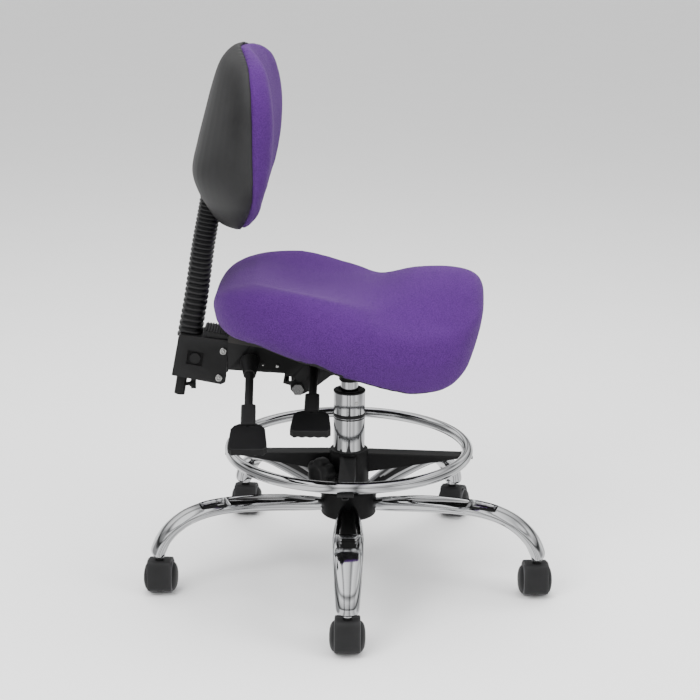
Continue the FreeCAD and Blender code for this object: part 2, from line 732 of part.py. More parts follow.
def lever_lug(name, kind, side, wall):
    """A lug beside a lever, from a wall's outer face, that holds its cross pin."""
    across = size(kind + "_lever_x") + side * size("lug_gap + lug_thick / 2")
    start, end = size(wall) - 0.5, size("lug_front")
    return block(name, "lug_thick", end - start, 9,
                 Vector(across, -(start + end) / 2, size(kind + "_lever_z")))


def cross_pin(name, kind, clearance, behind, ahead):
    """The pin that a lever turns on, along X through its pivot."""
    base = spot(kind + "_lever_x", "-lever_half_step", kind + "_lever_z") - FORWARD * behind
    radius = size("cross_pin_radius") + size(clearance)
    return cylinder(name, radius, behind + ahead, base, FORWARD)


def build_paddle(node, start, neck_end, tip, tip_width, placement):
    """A moulded paddle: a neck on the rod and a flat grip with finger ribs."""
    half_neck = size("neck_width") / 2
    half = tip_width / 2
    grip = padded_body(node + "_grip", "XY_Plane", [
        (-half_neck - 2, neck_end), (half_neck + 2, neck_end), (half - 8, neck_end + 4),
        (half - 3, neck_end + 12), (half, tip - 14), (half, tip - 6), (half - 5, tip),
        (5 - half, tip), (-half, tip - 6), (-half, tip - 14), (3 - half, neck_end + 12),
        (8 - half, neck_end + 4)], "paddle_thick")
    round_edges(grip, node + "_rounding", 2.5,
                lambda edge: abs(abs(edge.CenterOfMass.z) - size("paddle_thick") / 2) < 0.01)
    neck = padded_body(node + "_neck", "XY_Plane", [
        (-half_neck, start), (half_neck, start), (half_neck, neck_end + 6),
        (-half_neck, neck_end + 6)], "neck_width - 4")
    round_edges(neck, node + "_neck_rounding", 3, lambda edge: runs_along(edge, LEFT))
    grooves = [cylinder("%s_groove_%d" % (node, index), 6, 14,
                        Vector(-tip_width / 2 + tip_width * (index + 1) / 5, tip - 6,
                               size("paddle_thick") / 2 + 3.6), LEFT)
               for index in range(4)]
    bore = cylinder(node + "_bore", "lever_radius", neck_end + 8, ORIGIN, LEFT)
    keep(cut(node + "_cut", fused(node + "_solid", [grip, neck]), grooves + [bore]),
         node, placement)


def build_tilt_lever():
    frame = lever_frame("tilt")
    rod = cylinder("tilt_rod", "lever_radius", 170, frame.multVec(Vector(0, -1, 0)),
                   frame.Rotation.multVec(LEFT))
    reach = size("lug_gap + lug_thick + 1")
    keep(fused("tilt_lever_solid", [rod, cross_pin("tilt_pin", "tilt", 0, reach, reach)]),
         "tilt_lever")
    build_paddle("tilt_paddle", 129, 171, 234, size("paddle_width"), frame)
    boot = doc.addObject("Part::Cone", "boot_cone")
    boot.Radius1 = 15.5
    boot.Radius2 = 9.5
    boot.Height = 36
    boot.Placement = Placement(Vector(0, 7, 0), turn_to(LEFT))
    hole = cylinder("boot_hole", "lever_radius", 60, Vector(0, 0, 0), LEFT)
    keep(cut("boot", boot, [hole]), "tilt_boot", frame)


def build_lift_lever():
    """A straight rod outside and a thin bent arm inside that reaches the pin."""
    frame = lever_frame("lift")
    outer = cylinder("lift_rod", "lever_radius", 140, frame.Base, frame.Rotation.multVec(LEFT))
    arm_radius = 3.5
    rise = size("pin_top") + arm_radius + 0.3
    joints = [frame.Base,
              spot("lift_lever_x", -27, "lift_lever_z + 2"), Vector(-25, -15, rise),
              Vector(5, 2, rise)]
    pieces = [outer, cross_pin("lift_pin", "lift", 0, 7, size("lug_gap + lug_thick + 1"))]
    for index in range(len(joints) - 1):
        run = joints[index + 1] - joints[index]
        pieces.append(cylinder("lift_arm_%d" % index, arm_radius, run.Length,
                               joints[index], run))
    for index, joint in enumerate(joints[1:]):
        ball = doc.addObject("Part::Sphere", "lift_bend_%d" % index)
        ball.Radius = arm_radius
        ball.Placement = Placement(joint, Rotation())
        pieces.append(ball)
    keep(fused("lift_lever_solid", pieces), "lift_lever")
    build_paddle("lift_paddle", 96, 140, 201, size("paddle_width") + 3, frame)


# ------------------------------------------------------------- back upright

def bar_axis():
    lean = math.radians(size("back_lean"))
    return Vector(math.sin(lean), 0, math.cos(lean))


def bar_point(height):
    """The point of the back bar's middle line at a height above the floor."""
    foot = spot("bar_foot_x", 0, "bar_foot_z")
    return foot + bar_axis() * ((height - foot.z) / bar_axis().z)


def leaned():
    return Rotation(LEFT, size("back_lean"))


def build_bracket():
    """The block that hinges on the tongue, guides the bar and locks it."""
    block_body = padded_body("bracket_block", "XZ_Plane", [
        (-280.5, 345), (-203, 330.5), (-196, 334), (-194.5, 343), (-193.5, 358), (-189.5, 402),
        (-265.5, 411), (-268.5, 408)], "2 * bracket_half")
    doc.recompute()
    inside = "2 * tongue_half + 2"
    pocket_body(block_body, "XZ_Plane", "tongue_bay", [
        (-226, 300), (-226, 430), (-170, 430), (-170, 300)], inside)
    guide = cylinder("bar_guide", "bar_radius + running_gap", 200, bar_point(270), bar_axis())
    face = -size("bracket_half")
    cutters = [guide, height_screw("knob_screw_hole", "running_gap + 4"),
               block("boss_recess", 25, 4, 22, Vector(-243, face, 373), leaned()),
               hinge_pin("bracket_hinge", "hinge_x", "hinge_z", 50),
               hinge_pin("bracket_stop", "stop_x", "stop_z", 50)]
    boss = cylinder("boss", 8.5, 5, Vector(-243, face - 1, 373), LEFT)
    keep(fused("bracket", [cut("bracket_cut", block_body, cutters), boss]), "back_bracket")


def hinge_pin(name, x, z, reach):
    return cylinder(name, "pivot_radius", 2 * reach, spot(x, -reach, z), LEFT)


def build_bracket_pins():
    """The hinge pin and the stop pin, with round heads on both faces."""
    pins = []
    for label, x, z in (("hinge", "hinge_x", "hinge_z"), ("stop", "stop_x", "stop_z")):
        reach = size("bracket_half")
        shank = hinge_pin(label + "_shank", x, z, reach)
        heads = [cylinder(label + "_head_right", 6.2, 2.5, spot(x, -reach - 2.5, z), LEFT),
                 cylinder(label + "_head_left", 6.2, 2.5, spot(x, reach, z), LEFT)]
        pins.append(fused(label + "_pin", [shank] + heads))
    keep(group("pins", pins), "bracket_pins")


def build_top_cover():
    """The ribbed cover over the block, in front of the bellows."""
    cover = padded_body("cover_block", "XZ_Plane", [
        (-230, 407.1), (-188, 402.2), (-184.5, 405), (-185.5, 409), (-190, 411.8), (-226, 417),
        (-230, 415.5)], 56)
    ribs = [block("cover_rib_%d" % index, 1.6, 80, 30,
                  Vector(-222 + 4.2 * index, 0, 430 - 0.65 * index), Rotation(LEFT, 8.5))
            for index in range(8)]
    keep(cut("cover", cover, ribs), "top_cover")


def height_screw(name, radius):
    """The knob's screw, from the block's left face towards the bar."""
    return cylinder(name, radius, 30, spot(-240, 10, 374), LEFT)


def build_height_knob():
    start = size("bracket_half") + 0.4
    wheel = cylinder("height_wheel", 17, 14, spot(-240, start + 5, 374), LEFT)
    collar = cylinder("height_collar", 9, 6, spot(-240, start, 374), LEFT)
    screw = height_screw("height_screw", 4)
    scallops = []
    for index in range(8):
        angle = math.radians(45 * index)
        spoke = Vector(math.cos(angle), 0, math.sin(angle)) * 19.5
        scallops.append(cylinder("height_scallop_%d" % index, 4.5, 40,
                                 spot(-240, start - 2, 374) + spoke, LEFT))
    keep(cut("height_knob_cut", fused("height_knob_solid", [wheel, collar, screw]), scallops),
         "height_knob")


def plate_centre():
    """Middle of the plate at the bar's head, in front of the bar."""
    across = leaned().multVec(FORWARD)
    return bar_point(672) + across * (size("bar_radius") + 1.5)


def build_back_bar():
    foot = spot("bar_foot_x", 0, "bar_foot_z")
    tube = cylinder("bar_tube", "bar_radius", "bar_length", foot, bar_axis())
    plate = block("bar_plate", 4, 84, 56, plate_centre(), leaned())
    shanks = [back_screw_shank("bar_hole_%d" % index, point)
              for index, point in enumerate(back_screw_points())]
    thread = cylinder("bar_thread", 3, 20, stop_screw_base(), FORWARD)
    keep(cut("bar", fused("bar_solid", [tube, plate]), shanks + [thread]), "back_bar")


def stop_screw_base():
    return bar_point(322)


def build_stop_screw():
    """The thumb screw at the bar's foot that stops it pulling out."""
    shank = cylinder("stop_screw_shank", 3, 16, stop_screw_base(), FORWARD)
    wing = block("stop_screw_wing", 8, 4, 15, stop_screw_base() + FORWARD * 20)
    hub = cylinder("stop_screw_hub", 4.5, 6, stop_screw_base() + FORWARD * 14, FORWARD)
    keep(fused("stop_screw", [shank, wing, hub]), "bar_stop_screw")


def back_screw_points():
    up_bar, across = bar_axis(), LEFT
    return [plate_centre() + up_bar * rise + across * side
            for rise in (-18, 18) for side in (-30, 30)]


def back_screw_shank(name, point):
    ahead = leaned().multVec(FORWARD)
    return cylinder(name, 3, 20, point - ahead * 4, ahead)


def build_back_screws():
    ahead = leaned().multVec(FORWARD)
    screws = []
    for index, point in enumerate(back_screw_points()):
        shank = back_screw_shank("back_shank_%d" % index, point)
        head = cylinder("back_head_%d" % index, 6, 3, point - ahead * 5, ahead)
        screws.append(fused("back_screw_%d" % index, [shank, head]))
    keep(group("back_screw_group", screws), "back_screws")


def build_bellows():
    """The rubber bellows round the bar, drawn as its plain outer shape."""
    foot = bar_point(400)
    middle = foot + bar_axis() * (size("bellows_length") / 2)
    outer = block("bellows_block", "bellows_deep", "bellows_wide", "bellows_length",
                  middle, leaned())
    bore = cylinder("bellows_bore", "bar_radius + 2.5", 400, bar_point(350), bar_axis())
    floor = block("bellows_floor", 200, 100, 40, Vector(-229, 0, 387.2), Rotation(LEFT, 6.75))
    keep(cut("bellows_cut", outer, [bore, floor]), "bellows")


# --------------------------------------------------------- seat and backrest

# Seat cushion, station by station from the rear: distance along X, half
# width, height of the middle of the top, of the side rims, of the widest
# line, of the lower side edge and of the middle of the underside.
SEAT_STATIONS = (
    (-213, 48, 476, 476, 469, 457, 457),
    (-204, 100, 489, 490, 471, 446, 442),
    (-181, 140, 500, 504, 465, 433, 430),
    (-140, 174, 500, 509, 458, 424, 420),
    (-85, 195, 484, 506, 447, 407, 411),
    (-20, 201, 479, 491, 434, 387, 402),
    (45, 199, 490, 469, 421, 369, 395),
    (100, 187, 510, 459, 408, 355, 393),
    (145, 167, 514, 458, 404, 358, 396),
    (175, 143, 513, 462, 416, 376, 405),
    (192, 114, 509, 468, 433, 403, 417),
    (203, 84, 501, 473, 450, 430, 437),
    (210, 52, 488, 474, 460, 448, 450),
)


def seat_section(x, half, top, rim, widest, edge, under):
    """One cross-section of the cushion, a closed curve about the middle."""
    right = [(0.0, top), (0.42, top * 0.68 + rim * 0.32), (0.79, rim),
             (0.95, rim * 0.66 + widest * 0.34), (1.0, widest),
             (0.955, edge * 0.78 + widest * 0.22), (0.83, edge), (0.42, under)]
    left = [(-share, height) for share, height in reversed(right[1:])]
    loop = right + [(0.0, under)] + left
    return smooth_loop([Vector(x, -share * half, height) for share, height in loop])


def build_seat():
    board_centre = Vector(-43, 0, plate_line(-43)) + seat_axis() * (
        size("sheet_metal") + 0.1 + size("board_thick") / 2)
    board = block("board", "board_length", "board_width", "board_thick", board_centre,
                  pitched())
    keep(cut("board_cut", board, [cylinder("board_hole_%d" % index, 3, 20, point, seat_axis())
                                  for index, point in enumerate(seat_screw_points())]),
         "seat_board")
    cushion = solid_part("cushion", Part.makeLoft(
        [seat_section(*station) for station in SEAT_STATIONS], True, False))
    recess = block("board_recess", "board_length + 2 * soft_gap", "board_width + 2 * soft_gap",
                   80, board_centre + seat_axis() * (
                       size("board_thick") / 2 + size("soft_gap") - 40), pitched())
    keep(cut("cushion_cut", cushion, [recess]), "seat_cushion")


# Backrest, level by level from the bottom: height, half width, then the
# distance along X of the shell's rear, of the seam in the middle and at the
# edge, of the pad's side crest and of the pad's middle.
BACK_LEVELS = (
    (579, 34, -190, -172, -168, -163, -163),
    (590, 77, -206, -176, -163, -155, -158),
    (612, 117, -221, -188, -153, -141, -148),
    (640, 151, -236, -195, -144, -130, -142),
    (672, 171, -244, -192, -141, -120, -139),
    (715, 180, -235, -185, -141, -113, -137),
    (760, 181, -223, -178, -141, -111, -136),
    (800, 169, -212, -174, -143, -115, -138),
    (832, 140, -201, -171, -148, -124, -143),
    (849, 101, -189, -170, -156, -137, -149),
    (858, 52, -177, -168, -163, -151, -156),
)


def shell_section(z, half, rear, middle, edge, inset=0.0):
    """The shell at one level: a bowed rear and a bowed seam in front."""
    if inset:
        half, rear = half - inset, rear + inset
    side = half * 0.93
    behind = rear * 0.35 + edge * 0.65
    points = [Vector(rear, 0, z), Vector(rear * 0.88 + edge * 0.12, half * 0.45, z),
              Vector(behind, side, z), Vector(edge, half, z),
              Vector(middle * 0.35 + edge * 0.65, half * 0.72, z),
              Vector(middle * 0.9 + edge * 0.1, half * 0.34, z), Vector(middle, 0, z)]
    mirrored = [Vector(point.x, -point.y, z) for point in reversed(points[1:-1])]
    return smooth_loop(points + mirrored)


def pad_section(z, half, middle, edge, crest, front):
    """The back cushion at one level, bowed round the sitter."""
    gap = size("soft_gap")
    points = [Vector(middle + gap, 0, z),
              Vector(middle * 0.9 + edge * 0.1 + gap, half * 0.34, z),
              Vector(middle * 0.35 + edge * 0.65 + gap, half * 0.72, z),
              Vector(edge + gap, half, z), Vector(edge * 0.35 + crest * 0.65, half * 0.985, z),
              Vector(crest, half * 0.86, z), Vector(crest * 0.45 + front * 0.55, half * 0.5, z),
              Vector(front, 0, z)]
    mirrored = [Vector(point.x, -point.y, z) for point in reversed(points[1:-1])]
    return smooth_loop(points + mirrored)


def build_backrest():
    outer = Part.makeLoft([shell_section(z, half, rear, middle, edge)
                           for z, half, rear, middle, edge, crest, front in BACK_LEVELS],
                          True, False)
    wall = size("shell_wall")
    inner = Part.makeLoft([shell_section(z, half, rear, middle + 1.5, edge + 1, wall)
                           for z, half, rear, middle, edge, crest, front in BACK_LEVELS[1:-1]],
                          True, False)
    shell = solid_part("shell_solid", outer)
    hollow = solid_part("shell_hollow", inner)
    throat = block("shell_throat", "bellows_deep + 6", "bellows_wide + 6", 120,
                   bar_point(600), leaned())
    keep(cut("shell", shell, [hollow, throat]), "back_shell")
    pad = solid_part("pad_solid", Part.makeLoft(
        [pad_section(z, half, middle, edge, crest, front)
         for z, half, rear, middle, edge, crest, front in BACK_LEVELS], True, False))
    pad_shanks = [back_screw_shank("pad_hole_%d" % index, point)
                  for index, point in enumerate(back_screw_points())]
    keep(cut("pad", pad, pad_shanks), "back_cushion")


# -------------------------------------------------------------------- build

def check_document():
    """Stops if any feature failed or any sub-part is not a sound solid."""
    doc.recompute()
    for item in doc.Objects:
        if "Invalid" in item.State or "Error" in item.State:
            raise ValueError(item.Name + " failed: " + str(item.State))
    for item in sub_parts:
        if item.Shape.isNull() or not item.Shape.isValid() or not item.Shape.Solids:
            raise ValueError(item.Label + " is not a sound solid")


def write_parts():
    os.makedirs("parts", exist_ok=True)
    for item in sub_parts:
        item.Shape.exportStep(os.path.join("parts", item.Label + ".step"))
    print(len(sub_parts), "parts written")


build_hub()
build_legs()
build_hub_cover()
build_casters()
build_column()
build_gas_lift()
build_foot_ring()
build_spider()
build_ring_screws()
build_sleeve()
build_clamp_knob()
build_chassis()
build_pivot_bolt()
build_seat_channel()
build_seat_screws()
build_tilt_lever()
build_lift_lever()
build_bracket()
build_bracket_pins()
build_top_cover()
build_height_knob()
build_back_bar()
build_stop_screw()
build_back_screws()
build_bellows()
build_seat()
build_backrest()
check_document()
write_parts()
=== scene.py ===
import json
import math

import bmesh
import bpy
import numpy as np
from mathutils import Matrix, Vector

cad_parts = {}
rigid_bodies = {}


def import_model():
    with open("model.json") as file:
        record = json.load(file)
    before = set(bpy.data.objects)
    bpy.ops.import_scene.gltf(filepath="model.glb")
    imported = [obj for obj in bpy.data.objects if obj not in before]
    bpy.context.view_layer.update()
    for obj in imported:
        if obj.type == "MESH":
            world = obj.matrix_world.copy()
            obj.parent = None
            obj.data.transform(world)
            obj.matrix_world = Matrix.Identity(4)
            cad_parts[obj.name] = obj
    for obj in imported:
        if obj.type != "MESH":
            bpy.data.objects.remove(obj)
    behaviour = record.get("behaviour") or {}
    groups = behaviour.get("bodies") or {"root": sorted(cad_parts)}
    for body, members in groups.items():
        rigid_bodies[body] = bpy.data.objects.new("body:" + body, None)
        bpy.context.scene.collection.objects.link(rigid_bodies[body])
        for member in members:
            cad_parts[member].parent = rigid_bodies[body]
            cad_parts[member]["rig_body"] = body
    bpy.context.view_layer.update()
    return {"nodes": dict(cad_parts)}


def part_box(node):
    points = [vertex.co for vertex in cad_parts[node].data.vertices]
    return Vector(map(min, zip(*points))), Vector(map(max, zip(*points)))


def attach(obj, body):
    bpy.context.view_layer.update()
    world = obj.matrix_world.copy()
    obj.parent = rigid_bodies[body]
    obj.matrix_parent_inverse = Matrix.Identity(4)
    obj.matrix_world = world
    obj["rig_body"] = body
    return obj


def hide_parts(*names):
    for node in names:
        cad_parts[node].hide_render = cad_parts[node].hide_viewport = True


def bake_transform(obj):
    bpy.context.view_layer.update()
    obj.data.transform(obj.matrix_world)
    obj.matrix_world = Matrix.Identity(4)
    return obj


# A saddle-seat swivel stool.  Metres; +Z is up and +X is the way the sitter
# faces.  Tables below are in millimetres and are scaled when they are used.

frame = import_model()
MM = 0.001

LEG_ANGLES = [-90 + 72 * number for number in range(5)]
CASTER_TRAILS = (90, 91, 73, 86, 89)
CASTER_CIRCLE = 314
CASTER_AXLE = (0, 16.5, 25)
RING_HEIGHT = 217
RING_RADIUS, RING_TUBE = 190.8, 8.95
BRACKET_HALF = 32
PIVOT_RADIUS = 5
SKIN_CREASE = 32.0


# ------------------------------------------------------------------ materials

def new_material(name, base, roughness, metallic=0.0):
    """A material with its node tree and its Principled shader."""
    material = bpy.data.materials.new(name)
    material.use_nodes = True
    tree = material.node_tree
    shader = tree.nodes["Principled BSDF"]
    shader.inputs["Base Color"].default_value = (*base, 1)
    shader.inputs["Roughness"].default_value = roughness
    shader.inputs["Metallic"].default_value = metallic
    return material, tree, shader


def object_coordinates(tree, stretch=(1, 1, 1)):
    """Object coordinates, so that patterns keep their real scale on a piece."""
    place = tree.nodes.new("ShaderNodeTexCoord")
    mapping = tree.nodes.new("ShaderNodeMapping")
    mapping.inputs["Scale"].default_value = stretch
    tree.links.new(place.outputs["Object"], mapping.inputs["Vector"])
    return mapping.outputs["Vector"]


def noise(tree, where, scale, detail=3.0, roughness=0.55):
    """A soft random value between 0 and 1."""
    node = tree.nodes.new("ShaderNodeTexNoise")
    node.inputs["Scale"].default_value = scale
    node.inputs["Detail"].default_value = detail
    node.inputs["Roughness"].default_value = roughness
    tree.links.new(where, node.inputs["Vector"])
    return node.outputs["Fac"]


def ramp(tree, value, low, high, dark, light):
    """A colour that goes from dark to light while a value goes from low to high."""
    node = tree.nodes.new("ShaderNodeValToRGB")
    node.color_ramp.elements[0].position = low
    node.color_ramp.elements[1].position = high
    node.color_ramp.elements[0].color = (*dark, 1)
    node.color_ramp.elements[1].color = (*light, 1)
    tree.links.new(value, node.inputs["Fac"])
    return node.outputs["Color"]


def spread(tree, value, low, high):
    """A number between low and high that follows a value between 0 and 1."""
    node = tree.nodes.new("ShaderNodeMapRange")
    node.inputs["To Min"].default_value = low
    node.inputs["To Max"].default_value = high
    tree.links.new(value, node.inputs["Value"])
    return node.outputs["Result"]


def bump(tree, shader, height, distance, strength, under=None):
    """Relief that follows a height value, on top of an earlier relief if given."""
    node = tree.nodes.new("ShaderNodeBump")
    node.inputs["Strength"].default_value = strength
    node.inputs["Distance"].default_value = distance
    tree.links.new(height, node.inputs["Height"])
    if under is not None:
        tree.links.new(under, node.inputs["Normal"])
    tree.links.new(node.outputs["Normal"], shader.inputs["Normal"])
    return node.outputs["Normal"]


def mix(tree, kind, first, second, share):
    """Two colours mixed; each input is a socket or a plain value."""
    node = tree.nodes.new("ShaderNodeMix")
    node.data_type = "RGBA"
    node.blend_type = kind
    sockets = [item for item in node.inputs if item.type == "RGBA"]
    for socket, value in ((node.inputs[0], share), (sockets[0], first), (sockets[1], second)):
        if isinstance(value, bpy.types.NodeSocket):
            tree.links.new(value, socket)
        else:
            socket.default_value = value
    return [item for item in node.outputs if item.type == "RGBA"][0]


def under_cover_material():
    """Thin black cloth stapled under the seat."""
    material, tree, shader = new_material("black_under_cover", (0.016, 0.016, 0.017), 0.85)
    weave = noise(tree, object_coordinates(tree), 900, 2)
    tree.links.new(ramp(tree, weave, 0.3, 0.7, (0.012, 0.012, 0.013), (0.022, 0.022, 0.023)),
                   shader.inputs["Base Color"])
    shader.inputs["Specular IOR Level"].default_value = 0.15
    return material


def fabric_material():
    """Purple stretch fabric with a fine pebbled knit."""
    material, tree, shader = new_material("purple_fabric", (0.052, 0.012, 0.108), 0.8)
    shader.inputs["Sheen Weight"].default_value = 0.12
    shader.inputs["Sheen Roughness"].default_value = 0.35
    shader.inputs["Sheen Tint"].default_value = (0.8, 0.6, 1.0, 1)
    shader.inputs["Specular IOR Level"].default_value = 0.18
    where = object_coordinates(tree)
    wander = noise(tree, where, 210, 2, 0.5).node.outputs["Color"]
    bent = tree.nodes.new("ShaderNodeVectorMath")
    bent.operation = "MULTIPLY_ADD"
    bent.inputs[1].default_value = (0.0011,) * 3
    tree.links.new(wander, bent.inputs[0])
    tree.links.new(where, bent.inputs[2])
    cells = tree.nodes.new("ShaderNodeTexVoronoi")
    cells.feature = "SMOOTH_F1"
    cells.inputs["Scale"].default_value = 680
    cells.inputs["Smoothness"].default_value = 0.35
    tree.links.new(bent.outputs["Vector"], cells.inputs["Vector"])
    pebble = spread(tree, cells.outputs["Distance"], 1.0, 0.0)
    broad = noise(tree, where, 9, 3)
    fine = noise(tree, where, 1100, 2)
    tone = ramp(tree, pebble, 0.35, 0.9, (0.046, 0.0100, 0.099), (0.081, 0.0210, 0.160))
    clouds = ramp(tree, broad, 0.3, 0.75, (0.93, 0.93, 0.93), (1.05, 1.05, 1.05))
    tree.links.new(mix(tree, "MULTIPLY", tone, clouds, 1.0), shader.inputs["Base Color"])
    tree.links.new(spread(tree, fine, 0.72, 0.9), shader.inputs["Roughness"])
    deep = bump(tree, shader, pebble, 0.0008, 0.8)
    bump(tree, shader, fine, 0.00015, 0.5, deep)
    return material


def chrome_material(name, base, low, high):
    """Bright chrome plate with the faintest waviness and haze."""
    material, tree, shader = new_material(name, base, low, 1.0)
    where = object_coordinates(tree)
    haze = noise(tree, where, 60, 4)
    tree.links.new(spread(tree, haze, low, high), shader.inputs["Roughness"])
    bump(tree, shader, noise(tree, where, 26, 1), 0.0004, 0.10)
    return material


def metal_material(name, base, low, high):
    """Plated or machined steel with a fine grain."""
    material, tree, shader = new_material(name, base, low, 1.0)
    grain = noise(tree, object_coordinates(tree), 700, 3)
    tree.links.new(spread(tree, grain, low, high), shader.inputs["Roughness"])
    bump(tree, shader, grain, 0.00005, 0.4)
    return material


def plastic_material(name, base, roughness, grain_size, grain_depth, wear=0.35, shine=0.14):
    """Moulded or painted surface: a fine grain, dusty variation, worn edges."""
    material, tree, shader = new_material(name, base, roughness)
    shader.inputs["Specular IOR Level"].default_value = shine
    where = object_coordinates(tree)
    grain = noise(tree, where, 1.0 / grain_size, 2, 0.5)
    broad = noise(tree, where, 14, 4)
    darker = tuple(channel * 0.82 for channel in base)
    lighter = tuple(channel * 1.22 + 0.002 for channel in base)
    tone = ramp(tree, broad, 0.3, 0.72, darker, lighter)
    edge = tree.nodes.new("ShaderNodeNewGeometry").outputs["Pointiness"]
    edge_colour = ramp(tree, edge, 0.505, 0.56, (0, 0, 0), (wear, wear, wear))
    worn = tuple(min(1.0, channel * 2.2 + 0.03) for channel in base)
    tree.links.new(mix(tree, "MIX", tone, (*worn, 1), edge_colour), shader.inputs["Base Color"])
    tree.links.new(spread(tree, broad, roughness - 0.06, roughness + 0.08),
                   shader.inputs["Roughness"])
    bump(tree, shader, grain, grain_depth, 0.6)
    return material


def wood_material():
    """Dark stained plywood, its grain along the seat."""
    material, tree, shader = new_material("stained_plywood", (0.012, 0.011, 0.010), 0.6)
    grain = noise(tree, object_coordinates(tree, (1.5, 14, 60)), 6, 5)
    tree.links.new(ramp(tree, grain, 0.3, 0.7, (0.006, 0.005, 0.005), (0.018, 0.016, 0.014)),
                   shader.inputs["Base Color"])
    bump(tree, shader, grain, 0.0002, 0.4)
    return material


FABRIC = fabric_material()
CHROME = chrome_material("chrome_plate", (0.56, 0.565, 0.575), 0.06, 0.13)
UNDER_COVER = under_cover_material()
# Chrome darkened as painted shade and reflection, for the walls of the legs' troughs.
PAINTED_SHADE_CHROME = chrome_material("shaded_chrome", (0.32, 0.32, 0.325), 0.08, 0.16)
STEEL = metal_material("steel", (0.62, 0.62, 0.63), 0.22, 0.38)
ZINC = metal_material("zinc_steel", (0.50, 0.50, 0.49), 0.16, 0.30)
# Zinc darkened as painted shade, for the pivot bolt that sits in shadow.
PAINTED_SHADE_ZINC = metal_material("shaded_zinc", (0.16, 0.16, 0.16), 0.2, 0.34)
BLACK_PAINT = plastic_material("black_paint", (0.0034, 0.0034, 0.0036), 0.42, 0.0011, 0.0001)
BLACK_PLASTIC = plastic_material("black_plastic", (0.0036, 0.0036, 0.0038), 0.46, 0.0006, 0.00006)
SHELL_PLASTIC = plastic_material("shell_plastic", (0.0205, 0.0205, 0.021), 0.50, 0.0007, 0.00007,
                                 0.12)
HOOD_PLASTIC = plastic_material("hood_plastic", (0.0175, 0.0175, 0.018), 0.46, 0.0006, 0.00005,
                                0.2)
TREAD = plastic_material("grey_tread", (0.085, 0.085, 0.088), 0.62, 0.0005, 0.00005, 0.1)
RUBBER = plastic_material("black_rubber", (0.0042, 0.0042, 0.0045), 0.44, 0.0009, 0.00008, 0.45,
                          0.25)
# Painted shade and reflection: near-black laid on the middle of each leg's chrome trough.
PAINTED_SHADE_HOLLOW = plastic_material("painted_shade_hollow", (0.003, 0.003, 0.003), 0.5, 0.001, 0.00005, 0.0)
WOOD = wood_material()


# --------------------------------------------------------------- mesh helpers

def new_object(name, mesh, materials):
    """An object in the scene that shows a mesh in some materials."""
    piece = bpy.data.objects.new(name, mesh)
    bpy.context.scene.collection.objects.link(piece)
    for material in materials:
        mesh.materials.append(material)
    return piece


def mesh_object(name, points, faces, *materials):
    """An object made from points in metres and the faces between them."""
    mesh = bpy.data.meshes.new(name)
    mesh.from_pydata([tuple(point) for point in points], [], faces)
    mesh.validate()
    return new_object(name, mesh, materials)


def rounded_shading(piece, crease=40.0):
    """Smooth shading, with the edges sharper than an angle kept crisp."""
    work = bmesh.new()
    work.from_mesh(piece.data)
    limit = math.radians(crease)
    for face in work.faces:
        face.smooth = True
    for edge in work.edges:
        edge.smooth = len(edge.link_faces) == 2 and edge.calc_face_angle(0) < limit
    work.to_mesh(piece.data)
    work.free()
    return piece


def outward_faces(mesh, merge=False):
    """Turns every face outward, once points that coincide are merged if asked."""
    work = bmesh.new()
    work.from_mesh(mesh)
    if merge:
        bmesh.ops.remove_doubles(work, verts=work.verts, dist=1e-6)
    bmesh.ops.recalc_face_normals(work, faces=work.faces)
    work.to_mesh(mesh)
    work.free()


def grid_faces(rings, sides):
    """Quads between closed rings of points that lie one after another."""
    faces = []
    for ring in range(rings - 1):
        for side in range(sides):
            here, there = ring * sides + side, ring * sides + (side + 1) % sides
            faces.append((here, there, there + sides, here + sides))
    return faces


def ring_mesh(name, rings, *materials):
    """A skin over equal rings of points in mm, its ends closed by fans."""
    rings = np.asarray(rings, float)
    count, sides = rings.shape[:2]
    points = list(rings.reshape(-1, 3) * MM)
    faces = grid_faces(count, sides)
    for ring, order in ((0, -1), (count - 1, 1)):
        points.append(rings[ring].mean(0) * MM)
        middle = len(points) - 1
        for side in range(sides):
            near, far = ring * sides + side, ring * sides + (side + 1) % sides
            faces.append((middle, near, far) if order > 0 else (middle, far, near))
    return mesh_object(name, points, faces, *materials)


def smooth_rows(rows, per_gap, closed=False):
    """Rows of numbers with smooth (Catmull-Rom) rows filled in between them."""
    rows = np.asarray(rows, float)
    count = len(rows)
    gaps = count if closed else count - 1
    made = []
    for gap in range(gaps):
        if closed:
            a, b, c, d = (rows[(gap + step) % count] for step in (-1, 0, 1, 2))
        else:
            b, c = rows[gap], rows[gap + 1]
            a = rows[gap - 1] if gap else 2 * b - c
            d = rows[gap + 2] if gap + 2 < count else 2 * c - b
        for step in range(per_gap):
            t = step / per_gap
            made.append(0.5 * (2 * b + (c - a) * t + (2 * a - 5 * b + 4 * c - d) * t ** 2
                               + (3 * b - a - 3 * c + d) * t ** 3))
    if not closed:
        made.append(rows[-1])
    return np.array(made)


def turned(name, profile, place, *materials, sides=72, crease=40.0, face_material=None):
    """A closed shape turned about Z from its (radius, height) outline, in mm."""
    angles = [2 * math.pi * side / sides for side in range(sides)]
    points, faces, marks = [], [], []
    for radius, height in profile:
        points += [(radius * math.cos(a) * MM, radius * math.sin(a) * MM, height * MM)
                   for a in angles]
    for ring in range(len(profile)):
        after = (ring + 1) % len(profile)
        if profile[ring][0] == 0 and profile[after][0] == 0:
            continue
        for side in range(sides):
            there = (side + 1) % sides
            corners = (ring * sides + side, ring * sides + there,
                       after * sides + there, after * sides + side)
            faces.append(corners)
            marks.append(face_material[ring] if face_material else 0)
    piece = mesh_object(name, points, faces, *materials)
    for polygon, mark in zip(piece.data.polygons, marks):
        polygon.material_index = mark
    outward_faces(piece.data, merge=True)
    rounded_shading(piece, crease)
    piece.matrix_world = place
    return piece


def axis_place(origin, direction):
    """Puts a shape's own Z along a direction from a point in mm."""
    turn = Vector(direction).to_track_quat("Z", "Y").to_matrix().to_4x4()
    return Matrix.Translation(Vector(origin) * MM) @ turn


